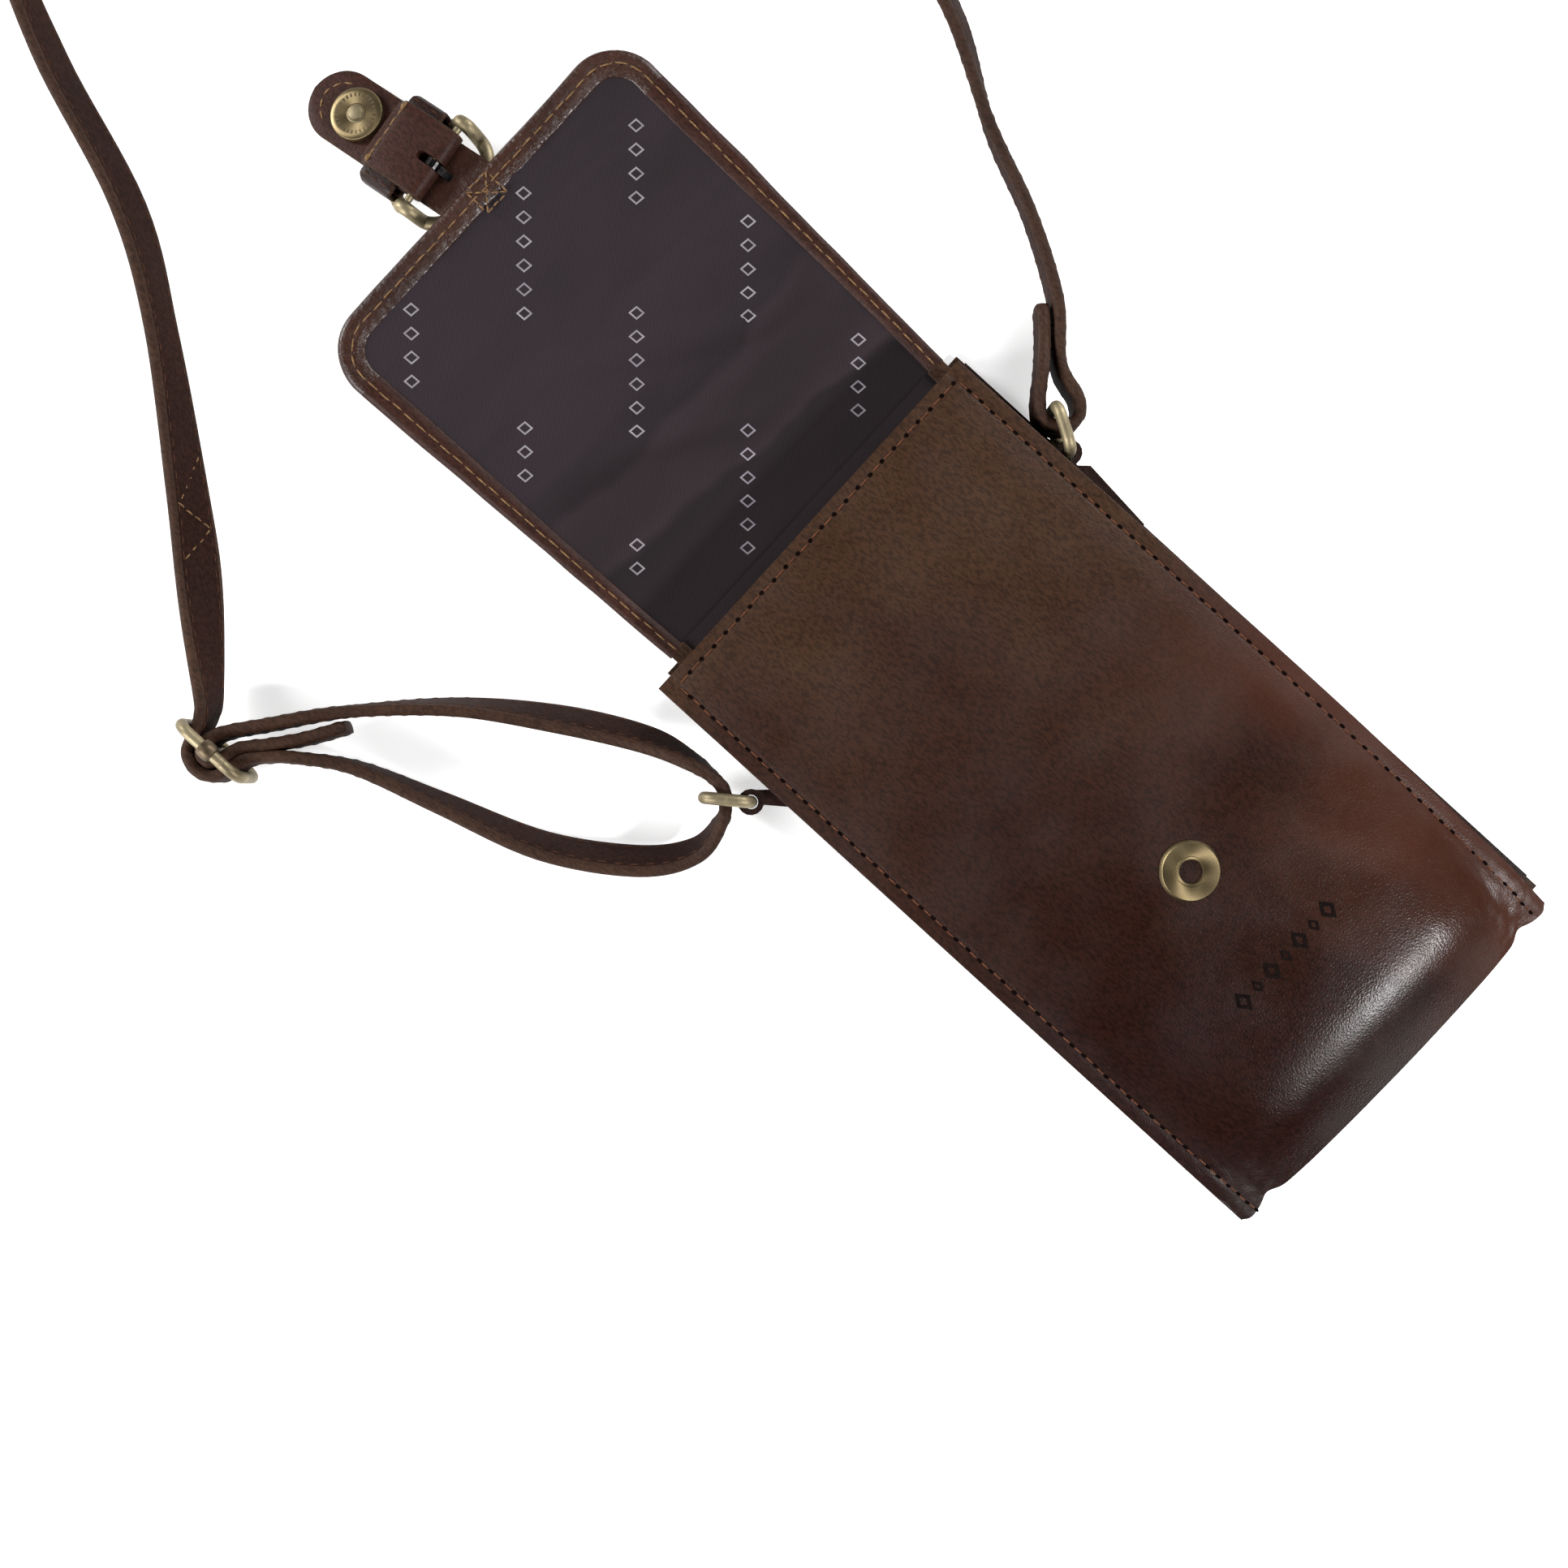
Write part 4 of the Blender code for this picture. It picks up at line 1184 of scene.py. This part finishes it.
def tab_strap():
    """Main layer with the round tip, wrapped round the buckle's bar and folded back over itself."""
    half = TAB_W / 2
    profile = tab_profile()
    stations = []
    last = len(profile) - 1
    for i, (u, w) in enumerate(profile):
        along = Vector(profile[min(last, i + 1)]) - Vector(profile[max(0, i - 1)])
        along.normalize()
        into_tip = u - (TIP_U - half)
        width = half
        if into_tip > 0:
            width = max(0.6 * MM, math.sqrt(max(0.0, half * half - into_tip * into_tip)))
        if i >= last - 3:
            width = half - 0.9 * MM * ((i - last + 3) / 3) ** 2
        stations.append((on_tab(0, u, w), TAB_ACROSS, tab_direction(0, along.y, -along.x), width))
    made = ribbon("tab_leather", stations, TAB_T, [TAB_LEATHER, EDGE_PAINT], None, 0.12 * MM, 0.4)
    cut = slot_cutter()
    boolean = made.modifiers.new("slot", "BOOLEAN")
    boolean.object = cut
    boolean.operation = "DIFFERENCE"
    boolean.solver = "EXACT"
    applied(made)
    bpy.data.objects.remove(cut)
    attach(made, "tab")
    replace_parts(made, "tab_strap")


def slot_cutter():
    """The shape of the slot that the buckle's prong passes through."""
    corners = []
    for w in (-1 * MM, 12 * MM):
        for x, u in ((-1.15, 8.0), (1.15, 8.0), (1.15, 16.6), (0.5, 17.4), (-0.5, 17.4), (-1.15, 16.6)):
            corners.append(on_tab(x * MM, u * MM, w))
    faces = [(5, 4, 3, 2, 1, 0), (6, 7, 8, 9, 10, 11)]
    faces += [(k, (k + 1) % 6, 6 + (k + 1) % 6, 6 + k) for k in range(6)]
    mesh = bpy.data.meshes.new("cutter")
    mesh.from_pydata([tuple(c) for c in corners], [], faces)
    made = bpy.data.objects.new("cutter", mesh)
    bpy.context.scene.collection.objects.link(made)
    return made


def tab_stitching():
    """Rows round the tip and across the folded end, with a bar tack on each side of the fold."""
    inset = TAB_W / 2 - 3.2 * MM
    level = MAIN_TOP + 0.10 * MM
    line = [(on_tab(x, u, level), TAB_UP) for x, u in arc(0, TIP_U - TAB_W / 2, inset, 8, 172, 30)]
    stitch_row("tip_stitches", line, "tab", 2.9, 2.1, 0.24, BRIGHT_THREAD)
    u = FOLD_END - 3.6 * MM
    level = FOLD_MID + 0.62 * MM
    reach = TAB_W / 2 - 1.6 * MM
    line = [(on_tab(x, u, level), TAB_UP) for x in (-reach, reach)]
    stitch_row("fold_stitches", line, "tab", 2.9, 2.5, 0.22, BRIGHT_THREAD)
    for name, middle in (("left", -reach), ("right", reach)):
        line = [(on_tab(middle + dx, u, level + 0.05 * MM), TAB_UP) for dx in (-1.1 * MM, 1.1 * MM)]
        stitch_row(f"bar_tack_{name}", line, "tab", 2.2, 2.2, 0.55, BRIGHT_THREAD)


def keeper():
    """Leather loop round tongue and tab; its flat ends stand out on both sides."""
    half = 11.3 * MM
    low = -1.5 * MM
    high = 3.0 * MM
    corner = 1.6 * MM
    half_length = 4.9 * MM
    loop = []
    for sx, w, start in ((1, high, 90), (1, low, 0), (-1, low, -90), (-1, high, -180)):
        sw = 1 if w == high else -1
        loop += arc(sx * (half - corner), w - sw * corner, corner, start, start - 90, 6)
    loop.append(loop[0])
    dense = []
    for (ax, aw), (bx, bw) in zip(loop, loop[1:]):
        dense += [(ax + (bx - ax) * k / 4, aw + (bw - aw) * k / 4) for k in range(4)]
    stations = []
    for i in range(len(dense) + 1):
        x, w = dense[i % len(dense)]
        before = dense[i - 1]
        after = dense[(i + 1) % len(dense)]
        along = Vector((after[0] - before[0], after[1] - before[1])).normalized()
        outward = tab_direction(-along.y, 0, along.x)
        width = half_length - 0.5 * MM * eased(abs(x), 10.4 * MM, half)
        stations.append((on_tab(x, KEEPER_U, w), tab_direction(0, 1, 0), outward, width))
    made = ribbon("keeper", stations, 1.2 * MM, [DARK_LEATHER, EDGE_PAINT], "tab", 0.03 * MM)
    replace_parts(made, "keeper_loop")
    for name, side in (("left", -1), ("right", 1)):
        x = side * 10.1 * MM
        line = [(on_tab(x, KEEPER_U + du, high + 0.66 * MM), TAB_UP) for du in (-3.4 * MM, 3.4 * MM)]
        stitch_row(f"keeper_stitches_{name}", line, "tab", 2.6, 1.7, 0.20, DARK_THREAD)


def buckle():
    """Arched oval frame and the straight bar that carries the strap and the prong."""
    span_u = 9.8 * MM
    span_x = 11.8 * MM
    low = -TAB_T / 2 - 1.7 * MM
    high = BAR_LEVEL - 0.6 * MM
    path = []
    for turn in even(96)[:-1]:
        a = 2 * math.pi * turn
        x = span_x * math.copysign(abs(math.cos(a)) ** 0.75, math.cos(a))
        u = span_u * math.copysign(abs(math.sin(a)) ** 0.9, math.sin(a))
        path.append(on_tab(x, BAR_U + u, high + (low - high) * eased(abs(u / span_u), 0.10, 0.40)))
    ring = rod("buckle_oval", path, (1.65 * MM, WIRE), "tab", TAB_UP, True)
    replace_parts(ring, "buckle_frame")
    reach = span_x - 1.7 * MM
    ends = [on_tab(x, BAR_U, BAR_LEVEL) for x in (-reach, reach)]
    bar = rod("buckle_crossbar", ends, (BAR_R, BAR_R), "tab", TAB_UP)
    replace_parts(bar, "buckle_bar")


def snap_stud():
    """Disc and dome of the stud, with a ring of short ticks."""
    place = TAB @ Matrix.Translation((0, SNAP_U, MAIN_TOP + 0.25 * MM))
    r = 6.4
    disc = [
        (0, 1.30), (2.3, 1.30), (2.45, 1.45), (3.0, 1.46), (r - 1.5, 1.46), (r - 0.40, 1.42),
        (r - 0.12, 1.25), (r, 0.95), (r, 0.2), (r - 0.3, 0),
    ]
    face = lathe("snap_stud_face", disc, place, SNAP_BRASS, "tab", 96)
    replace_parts(face, "snap_stud_disc")
    boss = [(0, 2.35), (1.2, 2.32), (1.65, 2.15), (1.85, 1.85), (1.9, 1.4), (2.3, 1.3)]
    dome = lathe("snap_stud_dome", boss, place, BRASS, "tab", 48)
    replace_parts(dome, "snap_stud_boss")
    points = []
    faces = []
    ticks = 28
    level = 1.49 * MM
    for k in range(ticks):
        a = 2 * math.pi * k / ticks
        out = Vector((math.cos(a), math.sin(a), 0))
        side = Vector((-math.sin(a), math.cos(a), 0))
        base = len(points)
        for reach, half in ((4.1 * MM, 0.16 * MM), (5.0 * MM, 0.20 * MM)):
            for sign in (-1, 1):
                points.append(place @ (out * reach + side * half * sign + Vector((0, 0, level))))
        faces.append((base, base + 1, base + 3, base + 2))
    make("stud_border_marks", points, faces, [DARK_BRASS], "tab")


# --- rings and slide -----------------------------------------------------------------------------------


def rounded_loop(width, height, corner, steps):
    loop = []
    for sx, sy, start in ((1, 1, 0), (-1, 1, 90), (-1, -1, 180), (1, -1, 270)):
        loop += arc(sx * (width / 2 - corner), sy * (height / 2 - corner), corner, start, start + 90, steps)
    return loop


def rings():
    for name, hung_at, turn in (("left", LEFT_ROD, 127), ("right", RIGHT_ROD, 60)):
        span = 10.6 * MM
        spin = Matrix.Translation(hung_at) @ Matrix.Rotation(math.radians(turn), 4, "Z")
        path = [spin @ Vector((x + span / 2, 0, z)) for x, z in rounded_loop(span, 15.0 * MM, 3.2 * MM, 8)]
        facing = spin.to_3x3() @ Vector((0, 1, 0))
        ring = rod(f"{name}_ring_wire", path, (WIRE, WIRE), f"{name}_ring", facing, True)
        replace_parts(ring, f"ring_{name}")


def ring_tab_stitches():
    """Two rows on each leather tab where it lies flat along the gusset."""
    for name, side in (("left", -1), ("right", 1)):
        low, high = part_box(f"ring_tab_{name}")
        x = (high.x if side < 0 else low.x) + side * 1.9 * MM
        for row, z in (("upper", high.z - 1.4 * MM), ("lower", low.z + 1.4 * MM)):
            seam = [(Vector((x, y, z)), Vector((side, 0, 0))) for y in (-54.0 * MM, -46.0 * MM)]
            stitch_row(f"{name}_tab_stitches_{row}", seam, "pouch", 3.0, 2.2, 0.22, THREAD)


def slide():
    """Upright loop with a post in the middle and a small collar on top."""
    height = 16.2 * MM
    sideways = Vector((1, 0, 0))
    path = [SLIDE_CENTRE + Vector((0, y, z)) for y, z in rounded_loop(17.9 * MM, height, 3.6 * MM, 8)]
    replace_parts(rod("slide_loop", path, (WIRE, WIRE), "pouch", sideways, True), "slide_frame")
    reach = height / 2 - 1.6 * MM
    ends = [SLIDE_CENTRE + Vector((0, 0, z)) for z in (-reach, reach)]
    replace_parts(rod("slide_post", ends, (0.9 * MM, 0.9 * MM), "pouch", sideways), "slide_bar")
    collar = [(1.5, -1.9), (2.0, -1.6), (2.25, -0.8), (2.3, 0), (2.25, 0.8), (2.0, 1.6), (1.5, 1.9)]
    top = SLIDE_CENTRE + Vector((0, 0, height / 2))
    place = Matrix.Translation(top) @ Matrix.Rotation(math.pi / 2, 4, "X")
    lathe("slide_collar", collar, place, DARK_BRASS, "pouch", 32)


def paint_cad_nodes():
    """The CAD pieces that stay get the same leathers, lining and metals as the modelled ones."""
    paints = {
        "dark_leather": DARK_LEATHER, "dark_metal": DARK_METAL, "leather": FLAP_SKIN, "lining": LINING,
        "brass": BRASS,
    }
    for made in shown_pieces():
        if "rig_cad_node" in made:
            for holder in made.material_slots:
                holder.material = next(paint for key, paint in paints.items() if key in holder.material.name)


# --- strap -------------------------------------------------------------------------------------------

FLOOR = STRAP_W / 2 / MM + 0.3
AT_RING = RIGHT_ROD.z / MM
AT_SLIDE = SLIDE_CENTRE.z / MM

# The strap's centre line: x, y, height of its middle in millimetres, and its lean in degrees.
TAIL_AND_UPPER_LEG = [
    (-104.6, 47.6, 7.5, 0), (-112.4, 52.3, 8.4, 0), (-118.6, 56.9, AT_SLIDE, 0), (-124.2, 61.6, AT_SLIDE, 0),
    (-128.8, 63.1, AT_SLIDE, 0), (-131.1, 64.4, AT_SLIDE, 0), (-131.4, 65.7, AT_SLIDE, 0),
    (-131.1, 67.0, AT_SLIDE, 0), (-128.8, 68.3, AT_SLIDE, 0), (-124.4, 67.0, AT_SLIDE, 0),
    (-116.6, 61.2, AT_SLIDE, 0), (-102.1, 50.1, 7.2, -3), (-84.3, 32.2, FLOOR, -14),
    (-70.3, 12.5, FLOOR, -28), (-60.6, -5.0, 8.2, -26), (-57.3, -15.9, AT_RING, -12),
    (-56.6, -22.4, AT_RING, 0), (-57.1, -26.0, AT_RING, 0), (-59.0, -28.4, AT_RING, 0),
    (-62.5, -30.4, AT_RING, 6),
]
LOWER_LEG = [
    (-71.7, -30.6, 9.4, 22), (-82.5, -22.5, 7.0, 30), (-94.9, -3.7, FLOOR, 26), (-103.3, 20.0, FLOOR, 14),
    (-110.2, 39.5, 7.4, 3), (-117.4, 50.9, AT_SLIDE, 0), (-122.0, 56.3, AT_SLIDE, 0),
    (-125.6, 59.2, AT_SLIDE, 0), (-128.8, 60.0, AT_SLIDE, 0), (-132.9, 61.7, AT_SLIDE, 0),
    (-134.5, 65.7, AT_SLIDE, 0),
    (-132.9, 69.7, AT_SLIDE, 0), (-128.8, 71.4, AT_SLIDE, 0), (-124.6, 72.9, AT_SLIDE, 4),
]
LEFT_SHOULDER = [
    (-120.0, 76.9, 8.8, 14), (-103.7, 96.0, FLOOR, 46), (-89.7, 112.3, FLOOR, 36), (-66.3, 141.6, FLOOR, 18),
    (-50.0, 167.1, FLOOR, 26), (-36.5, 204.0, FLOOR, 22), (-22.0, 230.0, FLOOR, 8), (4.0, 248.5, FLOOR, 0),
    (38.0, 257.5, FLOOR, 0), (70.0, 261.0, FLOOR, 0), (98.0, 261.5, FLOOR, 0), (120.0, 256.6, FLOOR, 0),
    (138.0, 243.5, FLOOR, 0),
]
RIGHT_SHOULDER = [
    (74.2, -5.0, 7.6, 0), (68.2, -10.6, 9.0, 0), (61.8, -15.4, AT_RING, 0), (56.6, -19.2, AT_RING, 0),
    (54.0, -22.2, AT_RING, 0), (54.2, -25.6, AT_RING, 0), (56.6, -28.2, AT_RING, 0),
    (60.0, -28.2, AT_RING, 0), (62.8, -25.2, AT_RING, 0), (66.4, -17.2, 9.6, 0), (77.2, -6.7, 8.0, 0),
    (88.5, 11.4, FLOOR, 4),
    (97.3, 31.7, FLOOR, 8), (111.6, 56.5, FLOOR, 24), (116.0, 78.0, FLOOR, 20), (104.0, 101.0, FLOOR, 4),
    (76.0, 124.0, FLOOR, 0), (58.4, 140.6, FLOOR, 0),
]


def coil_route():
    """The strap's spare length: two arms wound side by side round one centre, with an S between them."""
    low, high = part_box("strap_coil")
    x = (low[0] + high[0]) / 2 / MM
    y = (low[1] + high[1]) / 2 / MM
    outer = 64.0
    inner = 52.0
    steps = 18
    first = 51.0

    def wound(start):
        made = []
        for share in even(steps)[1:-1]:
            angle = math.radians(start - 180 * share)
            radius = outer - (outer - inner) * share
            made.append((x + radius * math.cos(angle), y + radius * math.sin(angle), FLOOR, 0))
        return made

    def half_circle(middle_angle, start, end):
        a = math.radians(middle_angle)
        cx = x + inner / 2 * math.cos(a)
        cy = y + inner / 2 * math.sin(a)
        return [(px, py, FLOOR, 0) for px, py in arc(cx, cy, inner / 2, start, end, 9)]

    middle = half_circle(first - 180, first - 180, first - 360) + half_circle(first, first - 180, first)[1:]
    return wound(first) + middle + wound(first + 180)[::-1]


STRAP_FACES = (("a", 1), ("b", -1))


def on_strap(station, side, edge, clear):
    """A place on one face of the strap near one edge, and the way that face looks."""
    centre, across, normal = station
    outward = normal * side
    row_offset = STRAP_W / 2 - 1.9 * MM
    return centre + across * edge * row_offset + outward * (STRAP_T / 2 + clear), outward


def strap_lines(route, per_span):
    """Stations of the strap: centre, width direction, face normal."""
    points = smooth([(x * MM, y * MM, z * MM) for x, y, z, _ in route], per_span)
    leans = smooth([(lean, 0, 0) for _, _, _, lean in route], per_span)
    stations = []
    last = len(points) - 1
    up = Vector((0, 0, 1))
    for i, here in enumerate(points):
        tangent = points[min(last, i + 1)] - points[max(0, i - 1)]
        flat = Vector((tangent.x, tangent.y, 0)).normalized()
        side = Vector((-flat.y, flat.x, 0))
        lean = math.radians(leans[i].x)
        sunk = STRAP_W / 2 * (1 - math.cos(lean)) - STRAP_T / 2 * abs(math.sin(lean))
        across = up * math.cos(lean) + side * math.sin(lean)
        normal = side * math.cos(lean) - up * math.sin(lean)
        stations.append((here - up * sunk, across, normal))
    return stations


def strap():
    """One strap from its free tail to the right ring, with a stitch row along both edges of both faces."""
    coming_back = [(x, y, z, -lean) for x, y, z, lean in reversed(RIGHT_SHOULDER)]
    route = TAIL_AND_UPPER_LEG + LOWER_LEG + LEFT_SHOULDER + coil_route() + coming_back
    lines = strap_lines(route, 8)
    travelled = [0.0]
    for (a, _, _), (b, _, _) in zip(lines, lines[1:]):
        travelled.append(travelled[-1] + (b - a).length)
    total = travelled[-1]
    rounding = 4 * MM
    stations = []
    for (centre, across, normal), s in zip(lines, travelled):
        from_end = min(s, total - s, rounding)
        width = STRAP_W / 2 - 1.6 * MM * (1 - from_end / rounding) ** 2
        stations.append((centre, across, normal, width))
    paints = [STRAP_LEATHER, EDGE_PAINT]
    body = ribbon("strap_leather_run", stations, STRAP_T, paints, "pouch", 0.10 * MM)
    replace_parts(body, "strap_left", "strap_right", "strap_coil")
    for face, side in STRAP_FACES:
        for row, edge in (("upper", 1), ("lower", -1)):
            line = [on_strap(station, side, edge, 0.01 * MM) for station in lines]
            stitch_row(f"strap_stitches_{face}_{row}", line, "pouch", 3.7, 2.4, 0.14, DARK_THREAD)
    strap_join(lines)


def strap_join(lines):
    """Slanting rows of stitches where two lengths of the shoulder strap overlap."""
    middle = Vector((-95.1, 108.0, FLOOR)) * MM
    nearest = min(range(len(lines)), key=lambda i: (lines[i][0] - middle).length)
    for face, side in STRAP_FACES:
        zigzag = ((-4, 1), (-1, -1), (1, 1), (4, -1))
        line = [on_strap(lines[nearest + step], side, edge, 0.06 * MM) for step, edge in zigzag]
        stitch_row(f"strap_join_stitches_{face}", line, "pouch", 2.6, 1.9, 0.24, BRIGHT_THREAD)


# --- camera, light and floor ---------------------------------------------------------------------------


def camera():
    """Looks straight down onto the purse, turned so that the flap points up left."""
    data = bpy.data.cameras.new("camera")
    data.sensor_width = 36.0
    over = (-0.0468, -0.0353)
    height = 0.470
    seen_width = 0.3671
    data.lens = data.sensor_width * height / seen_width
    made = bpy.data.objects.new("camera", data)
    bpy.context.scene.collection.objects.link(made)
    made.location = (*over, height)
    made.rotation_euler = (0, 0, math.radians(-47.63))
    bpy.context.scene.camera = made


def floor():
    mesh = bpy.data.meshes.new("floor")
    size = 3.0
    level = -0.1 * MM
    corners = [(-size, -size, level), (size, -size, level), (size, size, level), (-size, size, level)]
    mesh.from_pydata(corners, [], [(0, 1, 2, 3)])
    s = Shader("pale_floor")
    s.set(Roughness=0.9, Specular_IOR_Level=0.1)
    s.main.inputs["Base Color"].default_value = (0.93, 0.93, 0.93, 1)
    s.main.inputs["Emission Color"].default_value = (1, 1, 1, 1)
    s.main.inputs["Emission Strength"].default_value = 0.45
    mesh.materials.append(s.material)
    made = bpy.data.objects.new("floor", mesh)
    bpy.context.scene.collection.objects.link(made)
    made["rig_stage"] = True


def area_light(name, location, target, size, power):
    data = bpy.data.lights.new(name, "AREA")
    data.shape = "SQUARE"
    data.size = size
    data.energy = power
    made = bpy.data.objects.new(name, data)
    bpy.context.scene.collection.objects.link(made)
    made.location = location
    made.rotation_euler = (Vector(target) - Vector(location)).to_track_quat("-Z", "Y").to_euler()


def lights():
    world = bpy.data.worlds.new("world")
    bpy.context.scene.world = world
    world.use_nodes = True
    background = world.node_tree.nodes["Background"]
    background.inputs["Color"].default_value = (1, 1, 1, 1)
    background.inputs["Strength"].default_value = 0.07
    area_light("key", (0.24, -0.93, 0.83), (0, -0.15, 0), 0.13, 12)
    area_light("left", (-1.05, 0.25, 0.60), (0, 0, 0), 0.60, 17)
    area_light("top", (-0.35, 1.25, 0.50), (0, 0, 0), 0.40, 14)
    area_light("right", (1.15, 0.10, 0.60), (0, 0, 0), 0.60, 14)


bpy.context.scene.view_settings.view_transform = "Standard"
camera()
lights()
floor()
front()
front_inside()
emblem()
back_and_sides()
snap_socket()
flap()
root_fold()
tongue()
tongue_tack()
tab_strap()
tab_stitching()
keeper()
buckle()
snap_stud()
rings()
ring_tab_stitches()
slide()
strap()
paint_cad_nodes()
